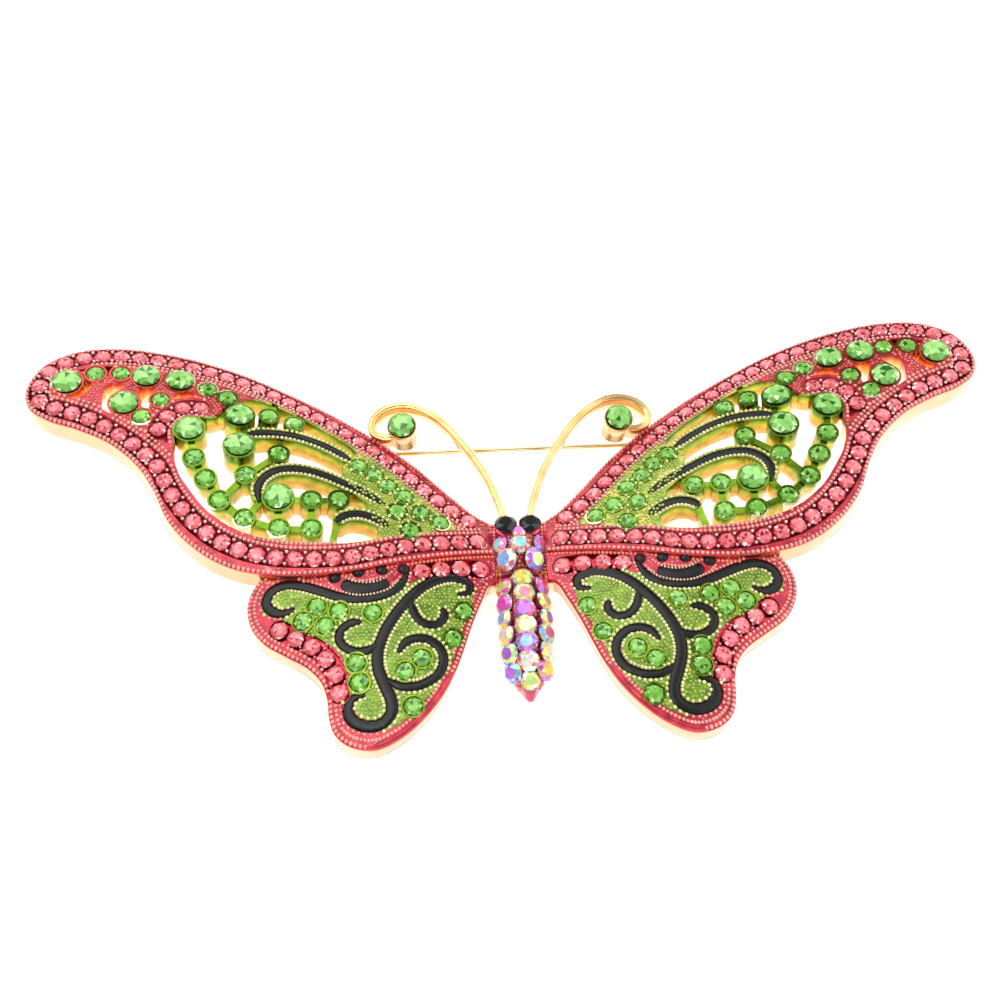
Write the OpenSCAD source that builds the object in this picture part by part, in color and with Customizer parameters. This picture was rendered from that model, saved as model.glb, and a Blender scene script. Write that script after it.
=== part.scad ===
// Butterfly brooch with a pin back. Millimetres, +Z up, lying on its back.
// +Y points to the head, +X to the butterfly's right, z = 0 is the surface it rests on.

/* [Castings] */
// Depth of the rim round every wing casting
rim_depth = 2.8; // [2.4:0.1:3.2]
// Thickness of the wing plate inside the rim
plate_thick = 1.3; // [1.1:0.1:1.6]
// Width of the rim seen from the back
rim_width = 1.1; // [0.9:0.1:1.4]
// Wall left round each window in the hollow back
wall = 0.7; // [0.6:0.1:1.0]
// Thickness of every enamel layer
enamel_thick = 0.25; // [0.15:0.05:0.35]

/* [Stones] */
// Radius of the large green stones
large_r = 1.75; // [1.6:0.05:1.8]
// Radius of the small green stones on the front wings
small_r = 1.15; // [1.0:0.05:1.15]
// Radius of the green stones on the hind wings
hind_green_r = 1.1; // [0.9:0.05:1.1]
// Radius of the pink stones on the wing borders
pink_r = 1.05; // [0.9:0.05:1.1]
// Gap between neighbouring pink stones in a row
pink_gap = 0.15; // [0.1:0.05:0.4]
// Radius of the clear stones on the thorax and abdomen
crystal_r = 1.03; // [0.9:0.01:1.04]
// Radius of the black eye stones
eye_r = 1.5; // [1.3:0.05:1.5]
// Radius of the two antenna stones
antenna_stone_r = 1.8; // [1.6:0.05:1.9]

/* [Body] */
// Height of the body's long axis above the resting surface
body_axis_z = 2.5; // [2.4:0.1:2.6]
// Half the distance between the flat faces that the wings are soldered to
root_x = 3.3; // [3.2:0.05:3.4]

/* [Antennae] */
// Width of the antenna ribbon seen from the front
ribbon_w = 1.0; // [0.8:0.1:1.2]
// Depth of the antenna ribbon from front to back
ribbon_depth = 2.8; // [2.2:0.1:3.0]

/* [Pin] */
// Radius of the pin wire
pin_r = 0.4; // [0.35:0.05:0.4]
// Height of the pin wire's axis above the resting surface
pin_z = 2.0; // [2.0:0.05:2.1]
// Distance of the pin wire from the origin towards the head
pin_y = 17.4; // [17.2:0.1:17.6]
// Distance of the hinge and of the catch from the middle of the brooch
pin_end_x = 23; // [22.5:0.5:23.5]
// Radius of the hinge rivet
rivet_r = 0.5; // [0.4:0.05:0.5]
// Running clearance round the rivet and round the catch rotor
run_gap = 0.05; // [0.03:0.01:0.08]
// Outer radius of the catch housing
catch_r = 2.0; // [1.95:0.05:2.0]
// Length of the catch housing along the pin
catch_len = 3.4; // [3.0:0.2:3.6]

/* [Hidden] */
$fn = 48;

gold = "goldenrod";
pink = "palevioletred";
lime = "yellowgreen";
green = "mediumseagreen";
black = "black";
crystal = "plum";

// A wing surface: [origin, tilt, arch radius, direction of the arch's axis, place of its crest]
FORE = [[0, 2.65, 4.36], [-2.8, -13.9, -2], 42, 37, -12];
HIND = [[0, 2.5, 5.65], [-2.4, -7.9, -1.1], 60, 60, -19];

// ---- curves ----

function blend4(a, b, c, d, t) = 0.5 * ((2 * b) + (c - a) * t + (2 * a - 5 * b + 4 * c - d) * t * t
    + (3 * b - a - 3 * c + d) * t * t * t);
function closed_curve(p, n) = let (m = len(p))
    [for (i = [0 : m - 1]) for (k = [0 : n - 1])
        blend4(p[(i + m - 1) % m], p[i], p[(i + 1) % m], p[(i + 2) % m], k / n)];
function open_curve(p, n) = let (m = len(p))
    concat([for (i = [0 : m - 2]) for (k = [0 : n - 1])
        blend4(p[max(i - 1, 0)], p[i], p[i + 1], p[min(i + 2, m - 1)], k / n)], [p[m - 1]]);
function side_of(p, i) = let (d = p[min(i + 1, len(p) - 1)] - p[max(i - 1, 0)]) [-d[1], d[0]] / norm(d);
function taper(u, full, tip) = full * min(1, tip + 6 * u, tip + 6 * (1 - u));
function ribbon(p, w, tip = 0.4) = let (m = len(p) - 1)
    concat([for (i = [0 : m]) p[i] + side_of(p, i) * taper(i / m, w / 2, tip)],
        [for (i = [m : -1 : 0]) p[i] - side_of(p, i) * taper(i / m, w / 2, tip)]);
function lengths(p, i = 1, sum = [0]) = i == len(p) ? sum
    : lengths(p, i + 1, concat(sum, [sum[i - 1] + norm(p[i] - p[i - 1])]));
function on_path(p, l, s) = let (i = max([for (k = [0 : len(p) - 2]) if (l[k] <= s) k]))
    p[i] + (p[i + 1] - p[i]) * (s - l[i]) / (l[i + 1] - l[i]);

// ---- wing surfaces ----

function across(w, p) = -p[0] * sin(w[3]) + p[1] * cos(w[3]) - w[4];
function arch_z(w, p) = sqrt(w[2] * w[2] - across(w, p) * across(w, p)) - w[2];

module place(w, mirrored) {
    mirror([mirrored ? 1 : 0, 0, 0]) translate(w[0]) rotate(w[1]) children();
}
// What children() draws at the origin stands on the arched surface at p, square to it
module stand(w, p, lift = 0) {
    translate([p[0], p[1], arch_z(w, p)])
        rotate(a = -asin(across(w, p) / w[2]), v = [cos(w[3]), sin(w[3]), 0])
            translate([0, 0, lift]) children();
}
module arch(w, rise) {
    translate([-w[4] * sin(w[3]), w[4] * cos(w[3]), -w[2]])
        rotate([0, 0, w[3]]) rotate([0, 90, 0]) cylinder(r = w[2] + rise, h = 200, center = true, $fn = 96);
}
// The 2-D children as a layer between two heights over the arched surface
module layer(w, low, high) {
    difference() {
        intersection() {
            translate([0, 0, -26]) linear_extrude(height = 30) children();
            arch(w, high);
        }
        arch(w, low);
    }
}

// ---- front wing ----

fore_outline = [[1, -0.6], [3, 1], [5.6, 2.6], [9, 6], [13, 10.4], [18, 14.5], [24, 18.3], [30, 21.2],
    [36, 23.6], [42, 25.1], [48, 25.7], [53, 25.5], [57.5, 24.3], [60.8, 21.8], [62.3, 18.6],
    [61.7, 15.8], [59, 13.9], [55.5, 12.6], [51.5, 10.6], [48, 7.6], [45.6, 4.2], [43.6, 0.4],
    [41, -2.6], [37.5, -5.2], [33.5, -6.8], [28, -7.5], [22, -7.1], [16, -5.9], [10, -4.8],
    [4, -3.9], [1, -3.4]];
// Edge between the pink border and the green middle of the wing
fore_middle = [[8.2, -0.3], [10.8, 2.9], [13.6, 6], [18, 10.3], [22, 13.1], [26, 15.8], [30, 18.1],
    [33.8, 19.4], [35.9, 18.4], [38.3, 17.1], [39, 15.4], [41.5, 15], [43.6, 14.3], [44.3, 12.6],
    [43.9, 10.4], [43.5, 8.2], [42.6, 6], [41.2, 3.7], [39.6, 1.6], [37.4, -0.4], [34.6, -2],
    [31.5, -3], [28, -3.5], [24, -3.6], [20, -3.3], [17, -2.5], [14.4, -2.7], [11.5, -1.3]];
// Open middle of the wing, which the veins, the bars and the stone seats bridge
fore_window = [[20.9, 10.7], [22, 12.4], [23.6, 13.7], [25, 14.6], [26.6, 15.5], [28.4, 16.5], [30, 17.3],
    [31.6, 18], [33.2, 18.6], [35, 18.9], [36.4, 18.5], [37.8, 17.4], [38.6, 16.6], [39, 15.2],
    [40.4, 14.5], [42.4, 14.6], [43.8, 13.4], [44.1, 12], [43.8, 10.6], [43.7, 9], [43.4, 7.4],
    [42.7, 5.8], [41.6, 4.2], [40.4, 2.6], [38.9, 1], [37.2, -0.4], [35.4, -1.5], [33.2, -2.4],
    [30.6, -3], [27.6, -3.4], [24, -3.5], [21, -3.3], [18.9, -2.7], [18.5, -1.4], [19.6, 0.9],
    [19.9, 2.6], [21.6, 4], [22.6, 6.4], [23, 8.6]];
// Small windows in the wing tip
tip_windows = [
    [[41.2, 17.9], [42.4, 18.8], [44.2, 18.7], [45.2, 17.6], [44.4, 17.4], [42.8, 17.7]],
    [[47.2, 19.2], [48.9, 19.3], [49.1, 17.6], [49, 15.6], [47.8, 15.4], [47.5, 16.4], [47.7, 17.6]],
    [[50.6, 19.4], [52.5, 19.4], [53.3, 18.5], [53.2, 16.6], [53, 15.1], [51.6, 14], [51.4, 15.4],
        [52.1, 16.8], [51.8, 18]],
    [[54.6, 19.7], [55.7, 20], [56.5, 19.2], [57, 17.9], [57, 16.9], [56, 17], [55.2, 18.2]],
    [[52.8, 22.2], [53.6, 22.4], [53.9, 21.6], [53.1, 21]],
    [[55.8, 22.2], [56.7, 21.9], [56.6, 21.1], [55.9, 21.3]]];
// Bars across the window, from one point to another
fore_bars = [[[42.3, 12.7], [41.3, 8.4]], [[41.3, 8.4], [39.6, 5.4]], [[39.6, 5.4], [37.7, 2.4]],
    [[37.7, 2.4], [34.9, 6]], [[34.9, 6], [31.1, 9.6]], [[31.1, 9.6], [31, 12.8]],
    [[37.7, 2.4], [34.6, -0.1]], [[34.6, -0.1], [33, 2.2]], [[34.6, -0.1], [30.5, -1.5]],
    [[30.5, -1.5], [30.8, 2.8]], [[30.5, -1.5], [26.6, -1.5]], [[26.6, -1.5], [26.8, 2.6]],
    [[26.8, 2.6], [30.8, 2.8]], [[26.8, 2.6], [23.4, 2.9]], [[23.4, 2.9], [21.4, 5]],
    [[23.5, -0.6], [24.2, -4]], [[29.4, 15.3], [29.6, 13]], [[29.4, 15.3], [28.4, 17.4]],
    [[32.7, 16.1], [34.2, 13]], [[32.7, 16.1], [32, 18.8]], [[36.4, 15.5], [35.4, 12.4]],
    [[36, 9.9], [35.2, 12.4]], [[36.4, 15.5], [39.4, 15.6]], [[42.3, 12.7], [45, 12.6]]];
fore_veins = [
    [[21.8, 9.7], [24.5, 11.4], [27.5, 12.6], [30.5, 13.1], [33.5, 12.9], [35.4, 12.3]],
    [[33, 2.2], [33.3, 4.2], [32.6, 5.8], [30.9, 7], [28.3, 7.3], [25.5, 6.7], [22.5, 5.4],
        [20, 4.2], [17.6, 2.6]],
    [[23.7, -0.4], [22.5, 0.5], [20.8, 0.8], [19, 0.3], [17.2, -0.8]]];
vein_w = 1.05;
bar_w = 0.85;
beam_w = vein_w + 0.85;

fore_large = [[57.7, 19.3], [48.5, 20.9], [44.4, 20.7], [50.5, 16.3], [42.3, 12.7], [36.4, 15.5],
    [30.8, 2.8]];
fore_raised = [36, 9.9];
raised_lift = 0.8;
fore_small = [[54.6, 20.8], [51.6, 21.1], [40.8, 19.7], [38.2, 18.6], [46.3, 17.1], [48.2, 14.3],
    [32.7, 16.1], [29.4, 15.3], [41.3, 8.4], [39.6, 5.4], [37.7, 2.4], [34.9, 6], [31.1, 9.6],
    [34.6, -0.1], [26.8, 2.6], [23.4, 2.9], [30.5, -1.5], [26.6, -1.5]];
fore_root = [[20.8, 8.8], [18.7, 7.6], [17, 5.8], [14.9, 4.2], [16, 1.6], [12.9, 1.7], [10.4, 0.3],
    [14.4, -1.3]];
// Middle line of the pink stones round the border, from the root over the tip and back
border_row = open_curve([[6.4, 1.2], [9.3, 3.3], [13.2, 7.3], [16.8, 10.8], [20.9, 14], [25.8, 17.1],
    [31.2, 20], [36.4, 22.1], [42, 23.5], [48, 24.2], [53, 24.1], [57.3, 23], [60, 21], [60.9, 18.4],
    [60.2, 16.2], [57.6, 15.2], [54.6, 14.1], [51, 12], [47.8, 9.6], [45.3, 7], [44.1, 4.6],
    [42.4, 2], [40, -0.7], [36.8, -3.1], [33, -4.7], [28, -5.5], [22, -5.3], [16.2, -3.9],
    [11.9, -3.1], [7.6, -2.5], [4.8, -2]], 4);
spur_row = open_curve([[45.7, 10.3], [46, 12.6], [45, 14.8], [43.2, 16.2], [41, 16.3]], 6);

// ---- hind wing ----

hind_outline = [[1, -7], [4.2, -8.4], [5.6, -11], [6.9, -14], [8, -17], [9.2, -20], [10.7, -22.8],
    [12.7, -25.3], [15.2, -27.4], [18, -28.6], [20.6, -28.2], [22.5, -26.8], [23.3, -24.8],
    [23.6, -22.6], [24.4, -20.6], [26, -18.9], [28.5, -17.3], [31, -15.6], [32.7, -13.4],
    [33.3, -11], [32.8, -8.8], [31.5, -7.4], [28, -6.6], [16, -4], [4, -2], [1, -2]];
// Edge between the pink border and the granulated green field
hind_field = [[6.2, -9], [7.6, -7.4], [10.4, -7.6], [13.4, -8.4], [16, -9.8], [19.4, -11],
    [23, -10.4], [26.4, -8.6], [29.6, -8.2], [31.6, -9.6], [31.4, -12], [29, -13], [26.6, -14.9],
    [24, -16.2], [22.2, -18], [21.2, -20.6], [21.4, -22.2], [22, -24.2], [20.8, -26.3],
    [18, -26.9], [15.4, -26], [12.6, -23.4], [10.4, -20.6], [9.2, -17.9], [8.1, -15], [7, -12]];
// Black scrolls: [width, points of the middle line]
hind_scrolls = [
    [1.15, [[14.6, -7.3], [15.5, -9.2], [17.5, -10.5], [20, -10.9], [22.5, -10.6], [24.6, -9.8],
        [27, -8.9], [29, -8.6], [30.6, -9.3], [31.1, -10.7], [30.4, -11.8], [29, -12.2], [27.8, -11.7]]],
    [1.7, [[16.9, -8.7], [18.6, -9.4], [20.5, -9.5], [22.4, -8.8]]],
    [1.3, [[8.5, -10.3], [7.2, -9.9], [7, -8.7], [8.5, -7.9], [10.6, -8.2], [12.8, -9.4], [14.8, -11.4],
        [16.4, -13.6], [17.5, -15.7], [18.1, -17.8], [18, -19.8], [17.3, -21.7], [16.6, -23.4],
        [16.6, -24.9], [17.7, -26], [19.3, -26.1], [20.8, -25.3], [21.3, -24], [20.7, -22.9],
        [19.5, -22.6]]],
    [1.0, [[14.2, -11.5], [13.8, -13.1], [12.7, -14.3], [11.2, -14.4], [10.3, -13.4], [10.5, -12.2]]],
    [1.0, [[18.2, -16.8], [19.4, -17.5], [21, -17.4], [22.3, -16.4], [22.4, -15], [21.3, -14],
        [20, -13.9]]],
    [1.05, [[17, -21.1], [15.4, -21.9], [13.4, -21.9], [11.4, -20.8], [10.6, -18.9], [11.2, -17.2],
        [12.8, -16.2], [14.7, -16.5], [15.8, -17.9]]]];
black_dots = [[15, -6.9], [17.7, -7], [20.5, -7.3], [23.3, -8]];
dot_r = 0.7;
hind_green = [[25.2, -11.7], [26.7, -13.4], [24.1, -14.2], [22.6, -12.4], [18.7, -12.8], [7.9, -12.6],
    [9.4, -16.3], [13.1, -18.7], [15, -20.2], [20.5, -18.9], [20.1, -21.2], [14.2, -24.3]];
hind_upper_row = open_curve([[5.3, -6.3], [9, -6.5], [12.9, -7.1]], 8);
hind_lower_row = open_curve([[29.4, -14.2], [27.3, -15.5], [25.3, -16.7], [23.8, -18.3],
    [22.7, -20.2], [22.3, -22.9]], 8);

// ---- stones and their seats ----

groove_depth = 0.4;
seat_floor = -0.3;
cup_rise = 0.4;
cup_wall = 0.25;
seat_gap = 0.03;

seat_room = 0.12;
// Pink stones grow a little towards the body, from this x on
root_stones_x = 16;
function border_r(p) = pink_r + 0.15 * max(0, min(1, (root_stones_x - p[0]) / 8));
function stone_row(p, l, s = 0) = s > l[len(l) - 1] ? []
    : let (c = on_path(p, l, s), r = border_r(c))
        concat([[c[0], c[1], r]], stone_row(p, l, s + 2 * r + pink_gap));
function row(p) = stone_row(p, lengths(p));
fore_border_stones = row(border_row);
fore_spur_stones = [for (s = row(spur_row)) if (norm([s[0], s[1]] - [45.7, 10.3]) > 1) s];
hind_border_stones = concat(row(hind_upper_row), row(hind_lower_row));

// A round stone with a flat back, a girdle, a bevelled crown and a table
module gem(r) {
    rotate_extrude()
        polygon([[0, 0], [0.7 * r, 0], [r, 0.42 * r], [r, 0.52 * r], [0.6 * r, 0.86 * r], [0, 0.86 * r]]);
}
module cup(r, lift = 0) {
    translate([0, 0, -rim_depth + 0.1]) cylinder(r = r + cup_wall, h = rim_depth - 0.1 + cup_rise + lift);
}
module pocket(r, lift = 0) {
    translate([0, 0, seat_floor + lift]) cylinder(r = r + seat_gap, h = 3);
}
module set_stones(w, mirrored, list, r, lift = 0) {
    place(w, mirrored) for (p = list) stand(w, p, seat_floor + lift) gem(r);
}
module set_row(w, mirrored, list) {
    place(w, mirrored) for (p = list) stand(w, p, -groove_depth) gem(p[2]);
}
module dots(list, r) {
    for (p = list) translate([p[0], p[1]]) circle(r = r);
}

// ---- 2-D regions ----

module fore_shape() { polygon(closed_curve(fore_outline, 3)); }
module fore_middle_shape() { polygon(closed_curve(fore_middle, 3)); }
module bars(w) {
    for (b = fore_bars) polygon(ribbon(b, w, 1));
}
module fore_holes() {
    difference() {
        union() {
            polygon(closed_curve(fore_window, 2));
            for (o = tip_windows) polygon(closed_curve(o, 2));
        }
        polygon(ribbon(border_row, 2 * pink_r + 1.5, 1));
        polygon(ribbon(spur_row, 2 * pink_r + 1.3, 1));
        for (v = fore_veins) polygon(ribbon(open_curve(v, 3), beam_w, 0.6));
        bars(bar_w);
    }
}
module seats(list) {
    for (s = list) translate([s[0], s[1]]) circle(r = s[2] + seat_room);
}
module fore_groove() {
    polygon(ribbon(border_row, 2 * pink_r + 0.3, 1));
    polygon(ribbon(spur_row, 2 * pink_r + 0.3, 1));
    seats([for (s = fore_border_stones) if (s[0] < root_stones_x) s]);
    seats(fore_spur_stones);
}
module fore_cups(extra) {
    dots(concat(fore_large, [fore_raised]), large_r + cup_wall + extra);
    dots(concat(fore_small, fore_root), small_r + cup_wall + extra);
}
module fore_vein_shape() { for (v = fore_veins) polygon(ribbon(open_curve(v, 3), vein_w)); }
module hind_shape() { polygon(closed_curve(hind_outline, 3)); }
module hind_field_shape() { polygon(closed_curve(hind_field, 3)); }
module hind_groove() {
    polygon(ribbon(hind_upper_row, 2 * pink_r + 0.6, 1));
    polygon(ribbon(hind_lower_row, 2 * pink_r + 0.3, 1));
    seats(hind_border_stones);
}
module scroll_shape() {
    for (s = hind_scrolls) polygon(ribbon(open_curve(s[1], 3), s[0]));
    dots(black_dots, dot_r);
}

// Everything on the body's side of a wing root
module inboard() {
    translate([-40 + root_x, -30, -10]) cube([40, 60, 40]);
}
// Everything above the front wing's outline, which the hind wing stays clear of
module over_fore_wing(mirrored) {
    place(FORE, mirrored) translate([0, 0, -26]) linear_extrude(height = 34) fore_shape();
}

// ---- wings ----

module fore_wing(mirrored) {
    color(gold) difference() {
        union() {
            place(FORE, mirrored) fore_wing_plate();
            pad_boss(mirrored);
        }
        mirror([mirrored ? 1 : 0, 0, 0]) inboard();
        pad_clearance(mirrored);
    }
}
module fore_wing_plate() {
    difference() {
        union() {
            layer(FORE, -rim_depth, 0) difference() {
                fore_shape();
                fore_holes();
            }
            for (p = fore_large) stand(FORE, p) cup(large_r);
            stand(FORE, fore_raised) cup(large_r, raised_lift);
            for (p = concat(fore_small, fore_root)) stand(FORE, p) cup(small_r);
        }
        layer(FORE, -rim_depth - 1, -plate_thick) difference() {
            offset(delta = -rim_width) fore_shape();
            offset(delta = wall) fore_holes();
            fore_cups(0.1);
        }
        layer(FORE, -groove_depth, 1) fore_groove();
        for (p = fore_large) stand(FORE, p) pocket(large_r);
        stand(FORE, fore_raised) pocket(large_r, raised_lift);
        for (p = concat(fore_small, fore_root)) stand(FORE, p) pocket(small_r);
    }
}

module hind_wing(mirrored) {
    color(gold) difference() {
        place(HIND, mirrored) difference() {
            union() {
                layer(HIND, -rim_depth, 0) hind_shape();
                for (p = hind_green) stand(HIND, p) cup(hind_green_r);
            }
            layer(HIND, -rim_depth - 1, -plate_thick) difference() {
                offset(delta = -rim_width) hind_shape();
                dots(hind_green, hind_green_r + cup_wall + 0.1);
            }
            layer(HIND, -groove_depth, 1) hind_groove();
            for (p = hind_green) stand(HIND, p) pocket(hind_green_r);
        }
        over_fore_wing(mirrored);
        mirror([mirrored ? 1 : 0, 0, 0]) inboard();
    }
}

// ---- enamel ----

module enamel(w, mirrored) {
    difference() {
        place(w, mirrored) layer(w, 0, enamel_thick) children();
        mirror([mirrored ? 1 : 0, 0, 0]) inboard();
    }
}
module fore_pink_enamel(mirrored) {
    color(pink) enamel(FORE, mirrored) difference() {
        offset(delta = -0.1) fore_shape();
        fore_middle_shape();
        fore_holes();
        fore_groove();
        fore_cups(0.05);
    }
}
module fore_green_enamel(mirrored) {
    color(lime) enamel(FORE, mirrored) difference() {
        offset(delta = -0.05) fore_middle_shape();
        offset(delta = 0.05) fore_holes();
        offset(delta = 0.05) fore_vein_shape();
        bars(bar_w + 0.1);
        fore_groove();
        fore_cups(0.05);
    }
}
module fore_black_enamel(mirrored) {
    color(black) enamel(FORE, mirrored) difference() {
        fore_vein_shape();
        offset(delta = 0.05) fore_holes();
        fore_cups(0.05);
    }
}
module hind_enamel(mirrored) {
    difference() {
        enamel(HIND, mirrored) children();
        over_fore_wing(mirrored);
    }
}
module hind_pink_enamel(mirrored) {
    color(pink) hind_enamel(mirrored) difference() {
        offset(delta = -0.1) hind_shape();
        hind_field_shape();
        hind_groove();
        offset(delta = 0.05) scroll_shape();
        dots(hind_green, hind_green_r + cup_wall + 0.05);
    }
}
module hind_green_enamel(mirrored) {
    color(lime) hind_enamel(mirrored) difference() {
        offset(delta = -0.05) hind_field_shape();
        hind_groove();
        offset(delta = 0.05) scroll_shape();
        dots(hind_green, hind_green_r + cup_wall + 0.05);
    }
}
module hind_black_enamel(mirrored) {
    color(black) hind_enamel(mirrored) difference() {
        scroll_shape();
        hind_groove();
        dots(hind_green, hind_green_r + cup_wall + 0.05);
    }
}

// ---- sets of stones ----

module fore_pink_stones(mirrored) { color(pink) set_row(FORE, mirrored, fore_border_stones); }
module spur_pink_stones(mirrored) { color(pink) set_row(FORE, mirrored, fore_spur_stones); }
module fore_large_stones(mirrored) {
    color(green) {
        set_stones(FORE, mirrored, fore_large, large_r);
        set_stones(FORE, mirrored, [fore_raised], large_r, raised_lift);
    }
}
module fore_small_stones(mirrored) { color(green) set_stones(FORE, mirrored, fore_small, small_r); }
module root_stones(mirrored) { color(green) set_stones(FORE, mirrored, fore_root, small_r); }
module hind_pink_stones(mirrored) { color(pink) set_row(HIND, mirrored, hind_border_stones); }
module hind_green_stones(mirrored) { color(green) set_stones(HIND, mirrored, hind_green, hind_green_r); }

// ---- body ----

// Radius of the body along its axis: [distance from the head end, radius]
thorax_profile = [[0.6, 1.9], [1.4, 2.5], [2.8, 2.85], [4.4, 2.85], [6, 2.5], [7, 1.9], [7.6, 1.7]];
abdomen_profile = [[7.6, 1.7], [8.6, 2.4], [10.5, 2.65], [13, 2.75], [16.5, 2.75], [19.2, 2.45],
    [21.2, 1.8], [22.7, 0.95], [23.8, 0.2]];
head_y = 3.6;
// Crystals: [distance from the head end, angle round the axis, radius]
thorax_set = [[2.3, 0, 0.75], [4.15, 0, 1.05], [3.7, 48, 1], [3.7, -48, 1], [5.95, 33, 1.25],
    [5.95, -33, 1.25]];
abdomen_set = concat([for (i = [0 : 5]) [9.05 + 2.12 * i, 0, crystal_r]],
    [for (i = [0 : 5], side = [-1, 1]) [10 + 2.12 * i, side * 44, crystal_r]],
    [[21.65, 0, 0.9]]);
eyes = [[-1.6, 2.5], [1.6, 2.5]];
eye_z = 5;
eye_tilt = 12;
eye_post_r = 1.45;
body_enamel_gap = 0.02;
body_enamel_thick = 0.13;
enamel_start = 8.05;
enamel_low_z = 1.4;
shoulder_top_z = 3.8;

function piece(p, s) = max([for (k = [0 : len(p) - 2]) if (p[k][0] <= s) k]);
function slope_at(p, s) = let (i = piece(p, s)) (p[i + 1][1] - p[i][1]) / (p[i + 1][0] - p[i][0]);
function radius_at(p, s) = let (i = piece(p, s)) p[i][1] + slope_at(p, s) * (s - p[i][0]);

// The body's round shape, grown outwards by more
module turned(profile, more = 0) {
    p = profile;
    m = len(p) - 1;
    translate([0, head_y, body_axis_z]) rotate([90, 0, 0]) rotate_extrude()
        polygon(concat([[0, p[0][0]]], [for (q = p) [q[1] + more, q[0]]], [[0, p[m][0] + more]]));
}
// What children() draws stands on the round body at distance s and the given angle
module stand_on_body(profile, s, angle, lift) {
    translate([0, head_y - s, body_axis_z]) rotate([0, angle, 0])
        translate([0, 0, radius_at(profile, s)]) rotate([-atan(slope_at(profile, s)), 0, 0])
            translate([0, 0, lift]) children();
}
// The eyes look up and a little forward
module on_eye(p) {
    translate([p[0], p[1], eye_z]) rotate([-eye_tilt, 0, 0]) children();
}
module body_casting() {
    color(gold) difference() {
        union() {
            turned(thorax_profile);
            turned(abdomen_profile);
            translate([-root_x, -4.4, 1]) cube([2 * root_x, 7.4, shoulder_top_z - 1]);
            for (p = eyes) on_eye(p) translate([0, 0, -3.5]) cylinder(r = eye_post_r, h = 3.5);
            translate([-2.6, 2, 1.2]) cube([5.2, head_y - 2, 3.6]);
        }
        translate([-10, -30, -5]) cube([20, 40, 5]);
        translate([-5, head_y, -1]) cube([10, 4, 10]);
    }
}
module body_enamel() {
    color(pink) difference() {
        turned(abdomen_profile, body_enamel_gap + body_enamel_thick);
        turned(abdomen_profile, body_enamel_gap);
        translate([-10, -30, -5]) cube([20, 40, 5 + enamel_low_z]);
        translate([-10, head_y - enamel_start, -5]) cube([20, 20, 20]);
    }
}
module thorax_crystals() {
    color(crystal) for (c = thorax_set)
        stand_on_body(thorax_profile, c[0], c[1], body_enamel_gap) gem(c[2]);
}
module abdomen_crystals() {
    color(crystal) for (c = abdomen_set)
        stand_on_body(abdomen_profile, c[0], c[1], 2 * body_enamel_gap + body_enamel_thick) gem(c[2]);
}
module eye_stones() {
    color(black) for (p = eyes) on_eye(p) gem(eye_r);
}

// ---- antennae ----

// Middle line of the ribbon from the head round to the cup, in the antennae's sloping plane
antenna_line = open_curve([[1.5, 3], [1.9, 5], [3.3, 9.2], [4.8, 12.2], [6.6, 15], [8.9, 17.9], [11.6, 20.2],
    [14.5, 21.3], [17.2, 20.9], [18.9, 19.5], [19.3, 17.9], [18.5, 16.9], [17, 16.5], [15.6, 17]], 4);
antenna_slope = 14;
antenna_foot_z = 4.7;
antenna_cup = [15.1, 18];
cup_depth = 4.2;

// The plane that both antennae rise in, hinged at the head
module antenna_plane() {
    translate([0, head_y, antenna_foot_z]) rotate([antenna_slope, 0, 0])
        translate([0, -head_y, 0]) children();
}
module antenna(mirrored) {
    color(gold) mirror([mirrored ? 1 : 0, 0, 0]) difference() {
        antenna_plane() {
            translate([0, 0, -ribbon_depth]) linear_extrude(height = ribbon_depth)
                polygon(ribbon(antenna_line, ribbon_w, 0.8));
            translate([antenna_cup[0], antenna_cup[1], -cup_depth])
                cylinder(r = antenna_stone_r + 0.2, h = cup_depth + 0.2);
        }
        antenna_plane() translate([antenna_cup[0], antenna_cup[1], -groove_depth])
            cylinder(r = antenna_stone_r + seat_gap, h = 3);
        translate([-30, head_y - 20, -10]) cube([60, 20, 40]);
    }
}
module antenna_stone(mirrored) {
    color(green) mirror([mirrored ? 1 : 0, 0, 0])
        antenna_plane() translate([antenna_cup[0], antenna_cup[1], -groove_depth]) gem(antenna_stone_r);
}

// ---- pin, hinge and catch ----

pad_z = 4.6;
pad_r = 2.2;
eye_w = 1.2;
ear_gap = 0.1;
ear_w = 0.6;
rotor_r = catch_r - 0.55;
wire_gap = 0.1;
tab_len = 2.9;
tab_w = 0.7;
tab_rest = 55;
// The wire keeps its full thickness between its shoulder and the start of its point
shoulder_r = pin_r + 0.2;
wire_end_x = pin_end_x - 2.2;
point_end_x = pin_end_x + 3.6;

// A solid lying along X, centred on the pin wire at x
module along_pin(x) { translate([x, pin_y, pin_z]) rotate([0, 90, 0]) children(); }
// A solid lying along Y, centred on the rivet
module along_rivet() { translate([-pin_end_x, pin_y, pin_z]) rotate([90, 0, 0]) children(); }

// Boss behind the wing with a level face for the pin hardware
module pad_boss(mirrored) {
    intersection() {
        translate([mirrored ? -pin_end_x : pin_end_x, pin_y, pad_z]) cylinder(r = pad_r, h = 8);
        place(FORE, mirrored) arch(FORE, -0.6);
    }
}
module pad_clearance(mirrored) {
    translate([mirrored ? -pin_end_x : pin_end_x, pin_y, pad_z - 8]) cylinder(r = pad_r + 0.4, h = 8);
}

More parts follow.
